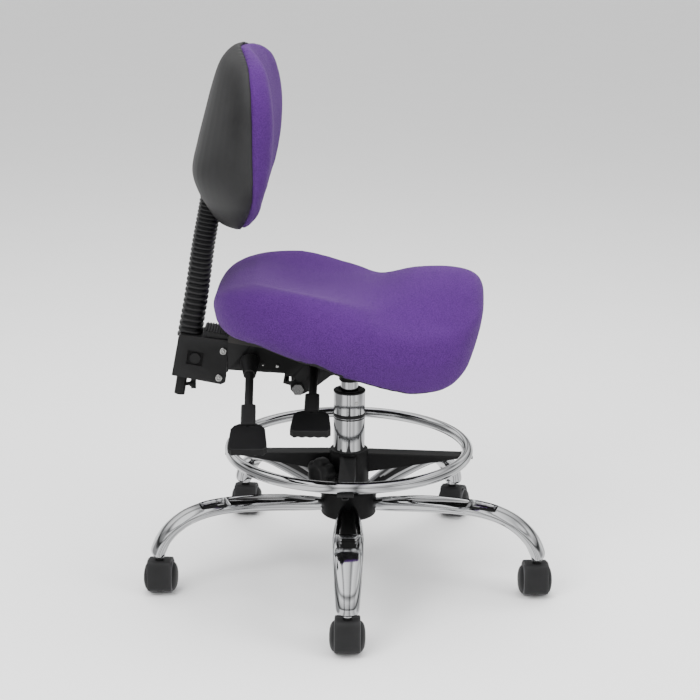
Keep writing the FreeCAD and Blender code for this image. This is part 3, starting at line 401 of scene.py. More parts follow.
def softened(corners, radius, steps=3):
    """An outline whose corners are rounded, for turned profiles."""
    made = []
    count = len(corners)
    for index, corner in enumerate(corners):
        here = Vector(corner)
        before, after = Vector(corners[index - 1]), Vector(corners[(index + 1) % count])
        inward, outward = before - here, after - here
        reach = min(radius, inward.length * 0.45, outward.length * 0.45)
        if here.x < 1e-6 or reach < 0.02:
            made.append((here.x, here.y))
            continue
        start, end = here + inward.normalized() * reach, here + outward.normalized() * reach
        for step in range(steps + 1):
            t = step / steps
            point = start * (1 - t) ** 2 + here * 2 * t * (1 - t) + end * t ** 2
            made.append((point.x, point.y))
    return made


def dressed(node, material, bevel):
    """The CAD node's own shape, cleaned, with soft edges, in a real material."""
    source = frame["nodes"][node]
    mesh = source.data.copy()
    mesh.materials.clear()
    piece = new_object(node + "_skin", mesh, [material])
    work = bmesh.new()
    work.from_mesh(mesh)
    bmesh.ops.remove_doubles(work, verts=work.verts, dist=2e-6)
    bmesh.ops.dissolve_limit(work, angle_limit=math.radians(0.6), verts=work.verts,
                             edges=work.edges)
    work.to_mesh(mesh)
    work.free()
    if "custom_normal" in mesh.attributes:
        mesh.attributes.remove(mesh.attributes["custom_normal"])
    rounded_shading(piece, SKIN_CREASE)
    soften = piece.modifiers.new("soft_edges", "BEVEL")
    soften.width = bevel * MM
    soften.segments = 2
    soften.limit_method = "ANGLE"
    soften.angle_limit = math.radians(SKIN_CREASE)
    soften.harden_normals = True
    soften.miter_outer = "MITER_ARC"
    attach(piece, frame["nodes"][node]["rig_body"])
    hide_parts(node)
    return piece


def stands_for(piece, node):
    """A new piece that rides where a CAD node does and is shown in its place."""
    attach(piece, frame["nodes"][node]["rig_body"])
    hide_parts(node)


def rides_along(piece, body):
    """A small extra piece that moves with a body."""
    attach(piece, body)


def evaluated_mesh(piece):
    """A piece's mesh with its modifiers applied."""
    graph = bpy.context.evaluated_depsgraph_get()
    return bpy.data.meshes.new_from_object(piece.evaluated_get(graph))


def bake_modifiers(piece):
    """Applies a piece's modifiers for good."""
    mesh = evaluated_mesh(piece)
    piece.modifiers.clear()
    piece.data = mesh


def remeshed(piece, voxel, rounds):
    """One even, smooth skin over a piece's shape."""
    remesh = piece.modifiers.new("remesh", "REMESH")
    remesh.mode = "VOXEL"
    remesh.voxel_size = voxel * MM
    smooth = piece.modifiers.new("smooth", "SMOOTH")
    smooth.factor = 0.5
    smooth.iterations = rounds
    bake_modifiers(piece)


def coordinates(mesh):
    """A mesh's points as rows of x, y and z."""
    flat = np.empty(len(mesh.vertices) * 3)
    mesh.vertices.foreach_get("co", flat)
    return flat.reshape(-1, 3)


CLOTH_FRAMES = 20


def blown_up(piece, most, pinned):
    """Fabric pulled over foam: the skin is simulated as cloth under light pressure
    from inside, and no point may move further than `most` millimetres."""
    before = coordinates(piece.data)
    fixed = piece.vertex_groups.new(name="fixed")
    fixed.add([vertex.index for vertex in piece.data.vertices if pinned(vertex.co)], 1.0, "ADD")
    cloth = piece.modifiers.new("cloth", "CLOTH")
    cloth.settings.quality = 4
    cloth.settings.mass = 0.3
    cloth.settings.tension_stiffness = cloth.settings.compression_stiffness = 25
    cloth.settings.shear_stiffness = 12
    cloth.settings.bending_stiffness = 4
    cloth.settings.use_pressure = True
    cloth.settings.uniform_pressure_force = 4
    cloth.settings.effector_weights.gravity = 0
    cloth.settings.vertex_group_mass = "fixed"
    cloth.collision_settings.use_collision = False
    cloth.point_cache.frame_start = 1
    cloth.point_cache.frame_end = CLOTH_FRAMES
    for number in range(1, CLOTH_FRAMES + 1):
        bpy.context.scene.frame_set(number)
    shape = evaluated_mesh(piece)
    moved = coordinates(shape) - before
    piece.modifiers.clear()
    piece.vertex_groups.clear()
    length = np.linalg.norm(moved, axis=1, keepdims=True)
    share = np.minimum(1.0, most * MM / np.maximum(length, 1e-9))
    piece.data.vertices.foreach_set("co", (before + moved * share).ravel())
    piece.data.update()
    bpy.data.meshes.remove(shape)
    bpy.context.scene.frame_set(1)


def refined(piece):
    """A finer copy of a soft skin, smooth all over."""
    relax = piece.modifiers.new("relax", "SMOOTH")
    relax.factor = 0.5
    relax.iterations = 5
    subdivide = piece.modifiers.new("fine", "SUBSURF")
    subdivide.levels = subdivide.render_levels = 1
    bake_modifiers(piece)
    rounded_shading(piece, 90)


# ----------------------------------------------------------------------- legs

# Middle line of a leg: distance, height, slope, half height, half width.
LEG_STATIONS = (
    (40, 125.4, 8.7, 10.6, 9.8), (50, 126.6, 8.4, 11.1, 11.4), (62, 128.2, 8, 11.5, 14.4),
    (85, 131.2, 7, 12, 17.2), (115, 135, 5.6, 12.3, 19.6), (160, 138.5, 2, 11.5, 22.2),
    (205, 139, -3, 10, 23.8), (240, 135, -13, 9.7, 23.6), (268, 126, -26, 10, 22.4),
    (290, 112, -41, 10.4, 20.8), (305.5, 95, -57, 10.8, 19.2), (314.5, 77, -70, 11, 17.6),
    (316.6, 69.5, -76, 9.4, 15.2), (317, 66.5, -78, 6.5, 11),
)
# Trough and window in the leg's top: distance, half width, depth.
LEG_HOLLOW = (
    (40, 6.5, 10), (52, 8.6, 11), (62, 10.6, 12), (85, 13.0, 12.5), (130, 16.0, 12.5),
    (165, 18.2, 12), (190, 19.0, 11), (198, 19.0, 10), (199.6, 18.4, 7), (200.6, 17.5, 2.6),
    (202.2, 17.5, 2.6), (203.2, 18.0, 7), (205, 18.4, 9), (220, 18.4, 9), (235, 16.8, 8.5),
    (241, 15.4, 8), (243.6, 14.4, 6), (245, 13.4, 0), (317, 3.0, 0),
)
# Across the hollow: share of its half width, share of its depth.
HOLLOW_WALL = ((0, 1), (0.15, 1), (0.3, 1), (0.43, 0.99), (0.55, 0.96), (0.66, 0.9), (0.76, 0.8),
               (0.85, 0.62), (0.93, 0.4), (1.0, 0.12))
# Along the leg: how much of the hollow's half width is painted black, as painted shade and
# reflection.
PAINTED_BLACK_SHARE = ((40, 95, 125, 190, 203, 215, 228, 244),
              (0.9, 0.85, 0.62, 0.62, 0.6, 0.6, 0.72, 0.86))
# Out to this share of its half width the trough's walls are darker chrome, as painted shade.
SHADED_SHARE = 0.93
OUTSIDE = 2
HOLLOW_END = 250
FULL_DEPTH = 5.2
LEG_ROUNDNESS = 2.35
LIP_WIDTH, LIP_RISE = 1.1, 0.25
UNDER_STEP = 0.9


def leg_stops():
    """Distances along a leg, close together where its hollow starts and ends."""
    stops = list(np.arange(40, 195, 5.0)) + [195, 197, 198.4, 199.2, 199.9, 200.6, 201.4,
                                             202.2, 202.9, 203.7, 205]
    return stops + list(np.arange(208, 240, 4.0)) + [241, 242.4, 243.6, 244.4, 245, 248]


def leg_rows():
    """The station of every ring, following the leg's middle line."""
    dense = smooth_rows(LEG_STATIONS, 14)
    straight = dense[dense[:, 0] < HOLLOW_END]
    stops = leg_stops()
    inner = np.stack([np.interp(stops, straight[:, 0], straight[:, column])
                      for column in range(5)], 1)
    return np.vstack([inner, dense[dense[:, 0] >= HOLLOW_END]])


def leg_half_section(half_height, half_width, hollow_half, hollow_depth):
    """(across, rise, share of the hollow's half width, or OUTSIDE) for each point from
    the top's middle round to the bottom's."""
    power = LEG_ROUNDNESS

    def surface(across):
        return half_height * (1 - min(1.0, across / half_width) ** power) ** (1 / power)

    floor = surface(hollow_half) - hollow_depth
    open_share = min(1.0, hollow_depth / FULL_DEPTH)
    points = []
    for share, sunk in HOLLOW_WALL:
        across = hollow_half * share
        rim = surface(across)
        points.append((across, rim + (floor - rim) * sunk * open_share,
                       share if open_share > 0.6 else OUTSIDE))
    lip = hollow_half + LIP_WIDTH
    points.append((lip, surface(lip) + LIP_RISE * open_share, OUTSIDE))
    start = math.acos(min(1.0, (lip / half_width) ** (power / 2)))
    count = 15
    for index in range(1, count + 1):
        angle = start - (start + math.pi / 2) * index / count
        across = half_width * max(0.0, math.cos(angle)) ** (2 / power)
        rise = math.copysign(half_height * abs(math.sin(angle)) ** (2 / power), angle)
        under = max(0.0, min(1.0, (-rise / half_height - 0.30) / 0.07))
        points.append((across - UNDER_STEP * under * (across > 1), rise, OUTSIDE))
    return points


def leg_mesh():
    """One leg on +X as one smooth skin; its sunken trough has painted shade and reflection."""
    hollow = np.array(LEG_HOLLOW, float)
    rings, shares = [], []
    rows = leg_rows()
    for distance, height, slope, half_height, half_width in rows:
        hollow_half = np.interp(distance, hollow[:, 0], hollow[:, 1])
        depth = np.interp(distance, hollow[:, 0], hollow[:, 2]) if distance < HOLLOW_END else 0
        half = leg_half_section(half_height, half_width, hollow_half, depth)
        whole = half + [(-across, rise, share) for across, rise, share in half[-2:0:-1]]
        lean = math.radians(slope)
        rings.append([(distance - rise * math.sin(lean), across, height + rise * math.cos(lean))
                      for across, rise, share in whole])
        shares.append([share for across, rise, share in whole])
    sides = len(rings[0])
    piece = ring_mesh("leg_shape", rings, CHROME, PAINTED_SHADE_HOLLOW, PAINTED_SHADE_CHROME)
    # Slots: chrome; painted shade and reflection in black and in darker chrome.
    chrome, black, shaded = range(3)
    for ring in range(len(rings) - 1):
        limit = np.interp(rows[ring][0], *PAINTED_BLACK_SHARE)
        for side in range(sides):
            after = (side + 1) % sides
            corners = (shares[ring][side], shares[ring][after],
                       shares[ring + 1][side], shares[ring + 1][after])
            out = sum(corners) / 4
            mark = black if out < limit else shaded if out < SHADED_SHARE else chrome
            piece.data.polygons[ring * sides + side].material_index = mark
    rounded_shading(piece, 38)
    bpy.context.scene.collection.objects.unlink(piece)
    return piece.data


def build_legs():
    """Five equal legs, each with the socket for its caster."""
    shape = leg_mesh()
    for number, angle in enumerate(LEG_ANGLES, start=1):
        turn = Matrix.Rotation(math.radians(angle), 4, "Z")
        leg = bpy.data.objects.new("leg_%d_tube" % number, shape)
        bpy.context.scene.collection.objects.link(leg)
        leg.matrix_world = turn
        stands_for(leg, "leg_%d" % number)
        socket = turned("leg_%d_socket" % number, softened(
            [(5.6, 65.4), (9.2, 65.4), (9.2, 84), (5.6, 84)], 0.5),
            turn @ Matrix.Translation((CASTER_CIRCLE * MM, 0, 0)), CHROME, sides=40)
        rides_along(socket, "base")


# -------------------------------------------------------------------- casters

def caster_place(leg_angle, trail):
    """A caster's own frame: its stem on Z, its axle behind it along X."""
    angle = math.radians(leg_angle)
    foot = Vector((math.cos(angle), math.sin(angle), 0)) * CASTER_CIRCLE * MM
    return Matrix.Translation(foot) @ Matrix.Rotation(math.radians(trail - 90), 4, "Z")


def wheel_profile():
    """(radius, distance from the middle) round one wheel, and its materials."""
    outline = [(3.1, 3.0), (22.6, 3.0), (24.2, 3.3), (25, 4.3), (25, 17.6), (24.6, 18.9),
               (23.4, 19.6), (22.6, 19.7), (22.4, 20.6), (21.6, 21.9), (19.5, 23.6), (16, 25.2),
               (11, 26.4), (5, 26.9), (0.0, 27.0), (0.0, 21.0), (3.1, 21.0)]
    tread = {1, 2, 3, 4, 5, 6}
    return outline, [1 if index in tread else 0 for index in range(len(outline))]


def hood_mesh(name):
    """The arched cover over both wheels."""
    half, wall = 19.0, 2.2
    top, front, low = 60.0, -12.6, 11.0
    outline = [(front + 1.0, low), (front, 20), (front, 40), (front + 0.6, top - 5),
               (front + 3, top - 1.2), (front + 7, top), (4, top), (8.5, top - 0.8)]
    centre, radius = (16.5, 26.5), 29.5
    for degrees in (100, 88, 76, 64, 52, 40, 28, 16, 8):
        angle = math.radians(degrees)
        outline.append((centre[0] + radius * math.cos(angle),
                        centre[1] + radius * math.sin(angle)))
    arc = smooth_rows(outline, 3)
    columns = [(-half, 2.4), (-half + 0.5, 0.9), (-half + 1.7, 0.15), (-half + 4, 0),
               (-half / 2, -0.1), (0, -0.15), (half / 2, -0.1), (half - 4, 0),
               (half - 1.7, 0.15), (half - 0.5, 0.9), (half, 2.4)]
    middle = Vector((12.0, 27.0))
    outer, inner = [], []
    for y, z in arc:
        away = (Vector((y, z)) - middle).normalized()
        outer.append([(x, y - away.x * sunk, z - away.y * sunk) for x, sunk in columns])
        inner.append([(x * 0.985, y - away.x * (sunk + wall), z - away.y * (sunk + wall))
                      for x, sunk in columns])
    count, across = len(arc), len(columns)
    points = [point for row in outer + inner for point in row]
    points = [(x * MM, y * MM, z * MM) for x, y, z in points]
    faces = []
    shift = count * across
    for row in range(count - 1):
        for column in range(across - 1):
            a = row * across + column
            faces.append((a, a + across, a + across + 1, a + 1))
            faces.append((a + shift, a + shift + 1, a + shift + across + 1, a + shift + across))
        for column in (0, across - 1):
            a = row * across + column
            quad = (a, a + shift, a + shift + across, a + across)
            faces.append(quad if column == 0 else quad[::-1])
    for row in (0, count - 1):
        for column in range(across - 1):
            a = row * across + column
            quad = (a, a + 1, a + 1 + shift, a + shift)
            faces.append(quad if row == 0 else quad[::-1])
    piece = mesh_object(name, points, faces, HOOD_PLASTIC)
    outward_faces(piece.data)
    return rounded_shading(piece, 50)


def build_casters():
    """Five casters, each a hood, a web, a stem, an axle and two wheels."""
    profile, marks = wheel_profile()
    for number, (angle, trail) in enumerate(zip(LEG_ANGLES, CASTER_TRAILS), start=1):
        place = caster_place(angle, trail)
        across = place @ axis_place(CASTER_AXLE, (1, 0, 0))
        tag = "_%d" % number
        hood = hood_mesh("caster_hood" + tag + "_cover")
        hood.matrix_world = place
        stands_for(hood, "caster_hood" + tag)
        web = turned("caster_web" + tag, softened(
            [(0, -2.3), (22.5, -2.3), (22.5, 2.3), (0, 2.3)], 0.5), across, HOOD_PLASTIC,
            sides=48)
        rides_along(web, "caster" + tag)
        stem = turned("caster_stem" + tag, softened(
            [(0, 50), (5.3, 50), (5.3, 56.8), (8.2, 56.8), (8.2, 60.4), (6.6, 61), (6.6, 65.2),
             (5.4, 65.2), (5.4, 80), (0, 80)], 0.4), place, BLACK_PLASTIC, sides=40)
        axle = turned("caster_axle" + tag, softened(
            [(0, -20.2), (2.9, -20.2), (2.9, 20.2), (0, 20.2)], 0.4), across, STEEL, sides=32)
        stands_for(stem, "caster_pins" + tag)
        rides_along(axle, "caster" + tag)
        for side, sign in (("right", 1), ("left", -1)):
            node = "caster_wheel%s_%s" % (tag, side)
            wheel = turned(node + "_disc", profile,
                           place @ axis_place(CASTER_AXLE, (sign, 0, 0)),
                           HOOD_PLASTIC, TREAD, sides=72, crease=30, face_material=marks)
            stands_for(wheel, node)


# --------------------------------------------------------- column and gas lift

def build_column():
    """Column, its seal and bush, the gas lift's tube and the cup over the hub."""
    straight = Matrix.Identity(4)
    column = turned("column_chrome", softened(
        [(20, 100), (25, 100), (25, 268.4), (23.4, 268.6), (23.4, 270.4), (25.4, 270.6),
         (25.4, 271.8), (23.4, 272), (23.4, 277), (25, 277.2), (25, 311.6), (24.6, 312.2),
         (20, 312.2)], 0.25, 2), straight, CHROME, sides=128, crease=50)
    stands_for(column, "column_tube")
    seal = turned("seal_rubber", softened(
        [(23.3, 272), (25.2, 272), (26.1, 273.2), (26.1, 276), (25.2, 277.1), (23.3, 277.1)],
        0.4, 2), straight, RUBBER, sides=128, crease=50)
    stands_for(seal, "seal_ring")
    lower_lip = turned("seal_lower_lip", softened(
        [(23.3, 268.7), (25.5, 268.7), (25.5, 270.4), (23.3, 270.4)], 0.3, 2),
        straight, RUBBER, sides=128, crease=50)
    rides_along(lower_lip, "base")
    bush = turned("guide_bush_cap", softened(
        [(14.1, 240), (19.9, 240), (19.9, 312.2), (25.5, 312.2), (25.8, 313), (25.6, 314.8),
         (24.2, 315.6), (18.6, 315.8), (17.6, 314.4), (14.1, 314)], 0.35),
        straight, BLACK_PLASTIC, sides=96, crease=50)
    stands_for(bush, "guide_bush")
    tube = turned("pressure_tube_steel", softened(
        [(5.1, 110), (13.2, 110), (14, 111), (14, 329), (13.2, 368), (3.1, 368), (3.1, 355),
         (11.3, 355), (11.3, 119), (5.1, 119)], 0.4), straight, CHROME, sides=96, crease=50)
    stands_for(tube, "pressure_tube")
    dimple = turned("column_dimple", softened(
        [(0, -0.5), (3.1, -0.5), (3.1, 0.05), (2.4, 0.35), (0, 0.2)], 0.2),
        axis_place((11.4, -22.2, 298), (0.457, -0.889, 0)), ZINC, sides=32)
    rides_along(dimple, "base")
    cover = turned("hub_cover_cup", softened(
        [(25.4, 148), (25.4, 150.6), (41.5, 151), (44.8, 147.8), (44.8, 108.5), (42, 105.4),
         (25.4, 105)], 2.0, 5),
        straight, BLACK_PLASTIC, sides=96, crease=50)
    stands_for(cover, "hub_cover")


# ------------------------------------------------------------------ foot ring

def build_foot_ring():
    """One bent tube, finely divided so that it mirrors cleanly."""
    bpy.ops.mesh.primitive_torus_add(major_radius=RING_RADIUS * MM,
                                     minor_radius=RING_TUBE * MM,
                                     major_segments=192, minor_segments=36,
                                     location=(0, 0, RING_HEIGHT * MM))
    ring = bpy.context.object
    ring.name = "foot_ring_tube"
    ring.data.materials.append(CHROME)
    rounded_shading(ring, 60)
    stands_for(ring, "foot_ring")


# -------------------------------------------------------------------- bellows

BAR_LEAN = math.radians(9.7)
BAR_FOOT = (-272.0, 306.0)
BELLOWS_LOW, BELLOWS_HIGH = 403.0, 634.0
FOLDS = 31
# Along one fold: share of its length, how far out it stands.
FOLD_PROFILE = ((0.0, 1.0), (0.16, 1.0), (0.30, 0.25), (0.46, 0.0), (0.62, 0.0), (0.80, 0.35))


def bar_point(height):
    """A point on the back bar's middle line, in mm."""
    x = BAR_FOOT[0] + (height - BAR_FOOT[1]) * math.tan(BAR_LEAN)
    return Vector((x, 0, height))


def build_bellows():
    """A rubber concertina: folds close together at its top, wider below."""
    rings = []
    up = Vector((math.sin(BAR_LEAN), 0, math.cos(BAR_LEAN)))
    ahead = Vector((math.cos(BAR_LEAN), 0, -math.sin(BAR_LEAN)))
    pitch_sum, heights = 0.0, [0.0]
    for fold in range(FOLDS):
        pitch_sum += 1.25 - 0.55 * fold / (FOLDS - 1)
        heights.append(pitch_sum)
    heights = [value / pitch_sum for value in heights]
    sides, square = 40, 0.72
    total = (BELLOWS_HIGH - BELLOWS_LOW) / up.z
    foot = bar_point(BELLOWS_LOW)
    for fold in range(FOLDS):
        for share, out in FOLD_PROFILE:
            along = heights[fold] + (heights[fold + 1] - heights[fold]) * share
            taper = 1.0 - 0.12 * along
            depth, width = 16.6 * taper + 2.9 * out, 21.5 * taper + 3.4 * out
            slump = 1.5 + 1.1 * math.sin(6.5 * along + 0.4) * math.sin(math.pi * along)
            centre = foot + up * (total * along) + ahead * slump
            ring = []
            for side in range(sides):
                angle = 2 * math.pi * side / sides
                c, s = math.cos(angle), math.sin(angle)
                across = math.copysign(abs(c) ** square, c) * depth
                wide = math.copysign(abs(s) ** square, s) * width
                ring.append(centre + ahead * across + Vector((0, wide, 0)))
            rings.append(ring)
    piece = ring_mesh("bellows_rubber", rings, RUBBER)
    rounded_shading(piece, 80)
    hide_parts("bellows")
    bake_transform(piece)


# ----------------------------------------------------------------- upholstery

# Across the seat: place from back to front, half width, then heights in its middle, on
# the rim, at the widest point, on the lower edge and in the middle underneath.
SEAT_STATIONS = (
    (-213, 48, 476, 476, 469, 457, 457), (-204, 100, 489, 490, 471, 446, 442),
    (-181, 140, 500, 504, 465, 433, 430), (-140, 174, 500, 509, 458, 424, 420),
    (-85, 195, 484, 506, 447, 407, 411), (-50, 199, 480, 499, 441, 397, 406),
    (-20, 201, 479, 491, 434, 387, 402), (15, 201, 483, 481, 428, 378, 398),
    (45, 199, 490, 469, 421, 369, 395), (72, 194, 501, 463, 415, 362, 394),
    (100, 187, 510, 459, 408, 357, 393), (144, 167, 514, 458, 405, 361, 396),
    (173, 143, 512, 462, 418, 380, 405), (189, 114, 508, 468, 435, 407, 419),
    (200, 84, 500, 472, 451, 433, 439), (206, 52, 487, 473, 460, 449, 451),
)


PINNED_BELOW = 0.385
COVER_SLOPE = -0.74


def seat_ring(x, half, top, rim, widest, edge, under):
    """The seat's outline across one station."""
    right = [(0.0, top), (0.42, top * 0.68 + rim * 0.32), (0.79, rim),
             (0.95, rim * 0.66 + widest * 0.34), (1.0, widest),
             (0.955, edge * 0.78 + widest * 0.22), (0.83, edge), (0.42, under)]
    left = [(-share, height) for share, height in reversed(right[1:])]
    loop = right + [(0.0, under)] + left
    return smooth_rows([(x, -share * half, height) for share, height in loop], 4, closed=True)


def build_seat_cushion():
    """The saddle, with black cloth on the faces that look down."""
    stations = smooth_rows(SEAT_STATIONS, 6)
    seat = ring_mesh("saddle_cushion", [seat_ring(*station) for station in stations], FABRIC)
    remeshed(seat, 5.0, 6)
    blown_up(seat, 3.0, lambda point: point.z < PINNED_BELOW)
    refined(seat)
    stands_for(seat, "seat_cushion")
    seat.data.materials.append(UNDER_COVER)
    for face in seat.data.polygons:
        if face.normal.z < COVER_SLOPE:
            face.material_index = 1


# Up the backrest: height, half width, then places from back to front of the shell's
# rear, the face between shell and pad in the middle and at the rim, and the pad's
# crest and middle.
BACK_LEVELS = (
    (579, 34, -190, -172, -168, -163, -163), (590, 77, -206, -176, -163, -155, -158),
    (612, 117, -221, -188, -153, -141, -148), (640, 151, -236, -195, -144, -130, -142),
    (672, 171, -244, -192, -141, -120, -139), (715, 180, -235, -185, -141, -113, -137),
    (760, 181, -223, -178, -141, -111, -136), (800, 169, -212, -174, -143, -115, -138),
    (832, 140, -201, -171, -148, -124, -143), (849, 101, -189, -170, -156, -137, -149),
    (858, 52, -177, -168, -163, -151, -156),
)


def meeting_face(half, middle, edge):
    """The face where pad and shell meet, from its middle to its rim."""
    return [(middle, 0), (middle * 0.9 + edge * 0.1, half * 0.34),
            (middle * 0.35 + edge * 0.65, half * 0.72), (edge, half)]


def mirrored_ring(points, height):
    """A smooth level ring from the points of its one half."""
    loop = points + [(x, -y) for x, y in reversed(points[1:-1])]
    return smooth_rows([(x, y, height) for x, y in loop], 5, closed=True)


def shell_ring(level):
    """The back shell's outline at one level."""
    height, half, rear, middle, edge = level[:5]
    return mirrored_ring([(rear, 0), (rear * 0.88 + edge * 0.12, half * 0.45),
                          (rear * 0.35 + edge * 0.65, half * 0.93)]
                         + meeting_face(half, middle, edge)[::-1], height)


def pad_ring(level):
    """The back pad's outline at one level."""
    height, half = level[:2]
    middle, edge, crest, front = level[3:]
    return mirrored_ring(meeting_face(half, middle, edge)
                         + [(edge * 0.35 + crest * 0.65, half * 0.985), (crest, half * 0.86),
                            (crest * 0.45 + front * 0.55, half * 0.5), (front, 0)], height)


def build_backrest():
    """The padded backrest and the shell behind it."""
    levels = smooth_rows(BACK_LEVELS, 6)
    shell = ring_mesh("back_shell_cover", [shell_ring(level) for level in levels],
                      SHELL_PLASTIC)
    remeshed(shell, 3.0, 12)
    rounded_shading(shell, 90)
    stands_for(shell, "back_shell")
    pad = ring_mesh("back_pad", [pad_ring(level) for level in levels], FABRIC)
    remeshed(pad, 4.0, 6)
    blown_up(pad, 2.0, lambda point: False)
    refined(pad)
    stands_for(pad, "back_cushion")


# ------------------------------------------------------------- mechanism, rest

# Pieces that keep the CAD shape: node, material, width of the softened edges.
DRESSED = (
    ("base_hub", BLACK_PAINT, 0.5), ("thrust_bearing", STEEL, 0.3),
    ("piston_rod", STEEL, 0.3), ("valve_pin", STEEL, 0.2),
    ("ring_spider", BLACK_PAINT, 0.9), ("ring_screws", BLACK_PAINT, 0.4),
    ("clamp_sleeve", BLACK_PLASTIC, 0.3), ("chassis", BLACK_PAINT, 0.6),
    # The pivot bolt's darker zinc is painted shade.
    ("pivot_bolt", PAINTED_SHADE_ZINC, 0.8), ("seat_channel", BLACK_PAINT, 0.6),
    ("seat_board", WOOD, 0.8), ("seat_screws", ZINC, 0.4),
    ("tilt_lever", BLACK_PAINT, 0.3), ("tilt_paddle", BLACK_PLASTIC, 0.6),
    ("tilt_boot", RUBBER, 0.8), ("lift_lever", BLACK_PAINT, 0.3),
    ("lift_paddle", BLACK_PLASTIC, 0.6), ("back_bracket", BLACK_PAINT, 1.0),
    ("top_cover", BLACK_PLASTIC, 0.5), ("back_bar", BLACK_PAINT, 0.4),
    ("bar_stop_screw", BLACK_PAINT, 0.5), ("back_screws", ZINC, 0.4),
)


def lobed_knob(name, place, radius, height, lobes, depth, screw_radius, screw_foot):
    """A hand knob: a lobed wheel with soft edges, a crowned face, a collar and a screw."""
    sides = 24 * lobes
    rows = ((0.42, 0.0), (0.80, 0.0), (0.94, 0.03), (1.0, 0.16), (1.0, 0.72), (0.965, 0.86),
            (0.88, 0.95), (0.72, 1.0), (0.55, 1.03), (0.48, 0.98), (0.2, 0.97))
    rings = []
    for share, rise in rows:
        ring = []
        for side in range(sides):
            angle = 2 * math.pi * side / sides
            notch = (0.5 + 0.5 * math.cos(angle * lobes)) ** 3
            reach = radius * share - depth * notch * max(0.0, (share - 0.5) / 0.5)
            ring.append((reach * math.cos(angle), reach * math.sin(angle), height * rise))
        rings.append(ring)
    wheel = rounded_shading(ring_mesh(name, rings, BLACK_PLASTIC), 50)
    wheel.matrix_world = place
    stem = turned(name + "_stem", softened(
        [(0, screw_foot), (screw_radius, screw_foot), (screw_radius, -4), (radius * 0.42, -4),
         (radius * 0.42, 0.5), (0, 0.5)], 0.3), place, STEEL, sides=40)
    return wheel, stem


def build_knobs():
    """The ring's clamp knob and the backrest's height knob."""
    outward = (math.cos(math.radians(222)), math.sin(math.radians(222)), 0)
    clamp_place = axis_place((49 * outward[0], 49 * outward[1], 186), outward)
    for node, place, shape in (
            ("clamp_knob", clamp_place, (26, 21, 6, 3.6, 4, -21)),
            ("height_knob", axis_place((-240, 37.5, 374), (0, 1, 0)), (17, 13.5, 8, 2.0, 4, -27))):
        wheel, stem = lobed_knob(node + "_wheel", place, *shape)
        stands_for(wheel, node)
        rides_along(stem, frame["nodes"][node]["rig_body"])


# A pin's head: radius, how far it stands out.
PIN_HEAD = ((0, 3.0), (1.6, 2.9), (2.5, 2.0), (3.2, 1.9), (3.9, 2.9), (4.8, 2.8), (5.7, 2.0),
            (6.2, 0.9), (6.2, 0))


def build_bracket_pins():
    """Hinge pin and stop pin with domed, dimpled heads."""
    length = 2 * BRACKET_HALF
    near = [(radius, -height) for radius, height in PIN_HEAD]
    far = [(radius, length + height) for radius, height in reversed(PIN_HEAD)]
    outline = near + [(PIVOT_RADIUS, 0), (PIVOT_RADIUS, length)] + far
    for label, along, height in (("hinge", -198.5, 385), ("stop", -206, 341.5)):
        pin = turned(label + "_pin", outline,
                     axis_place((along, -BRACKET_HALF, height), (0, 1, 0)), ZINC, sides=48)
        stands_for(pin, "bracket_pins")


def build_channel_rivets():
    """Small bright rivet heads on the channel's two side walls."""
    wall = 38.7
    for index, (along, height, radius) in enumerate(((-136, 365, 1.7), (-113.5, 363, 2.6))):
        for side in (-1, 1):
            head = turned("channel_rivet_%d_%d" % (index, side),
                          [(0, 1.0), (radius * 0.6, 0.8), (radius, 0), (radius, -1), (0, -1)],
                          axis_place((along, side * wall, height), (0, side, 0)), ZINC,
                          sides=24)
            rides_along(head, frame["nodes"]["seat_channel"]["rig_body"])


ARM_DROP = 3.2 * MM
SCREW_RISE = 5.0 * MM
TUCK_START, TUCK_LENGTH = 40 * MM, 24 * MM


def tuck_under_ring(arms, screws):
    """Keeps the arm ends and their screws close under the ring's tube."""
    low, high = (Vector(corner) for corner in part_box("foot_ring"))
    tube = (high.z - low.z) / 2
    radius = high.x - tube
    lowest = low.z - ARM_DROP
    for vertex in arms.data.vertices:
        out = math.hypot(vertex.co.x, vertex.co.y)
        share = max(0.0, min(1.0, (out - radius + TUCK_START) / TUCK_LENGTH))
        if vertex.co.z < lowest:
            vertex.co.z += (lowest - vertex.co.z) * share
    for vertex in screws.data.vertices:
        vertex.co.z += SCREW_RISE


def build_mechanism():
    """Everything that keeps the CAD shape, with its pins and rivets."""
    skins = {node: dressed(node, material, bevel) for node, material, bevel in DRESSED}
    tuck_under_ring(skins["ring_spider"], skins["ring_screws"])
    build_bracket_pins()
    build_channel_rivets()


# ---------------------------------------------------------- floor, light, camera

def soft_light(name, place, target, size, power):
    """A large lamp that lights the stool and isn't mirrored in its chrome."""
    lamp = bpy.data.lights.new(name, "AREA")
    lamp.shape = "RECTANGLE"
    lamp.size, lamp.size_y = size
    lamp.energy = power
    holder = bpy.data.objects.new(name, lamp)
    bpy.context.scene.collection.objects.link(holder)
    holder.location = place
    holder.visible_glossy = False
    holder.rotation_euler = (Vector(target) - Vector(place)).to_track_quat(
        "-Z", "Y").to_euler()


def build_backdrop(material):
    """A pale round wall far behind the stool, seen by the camera only."""
    profile = ((22, 0.01), (25, 0.15), (27.5, 0.7), (29.3, 1.9), (30, 4), (30, 45))
    sides = 96
    points = [(radius * math.cos(2 * math.pi * side / sides),
               radius * math.sin(2 * math.pi * side / sides), height)
              for radius, height in profile for side in range(sides)]
    wall = mesh_object("backdrop", points, grid_faces(len(profile), sides), material)
    rounded_shading(wall, 60)
    wall.visible_diffuse = False
    wall.visible_glossy = False
    wall.visible_shadow = False


def grey_bands(tree, value, ends, stops):
    """Greys along a value that goes from 0 to 1."""
    bands = ramp(tree, value, 0.0, 1.0, (ends[0],) * 3, (ends[1],) * 3)
    for position, grey in stops:
        bands.node.color_ramp.elements.new(position).color = (grey, grey, grey, 1)
    return bands


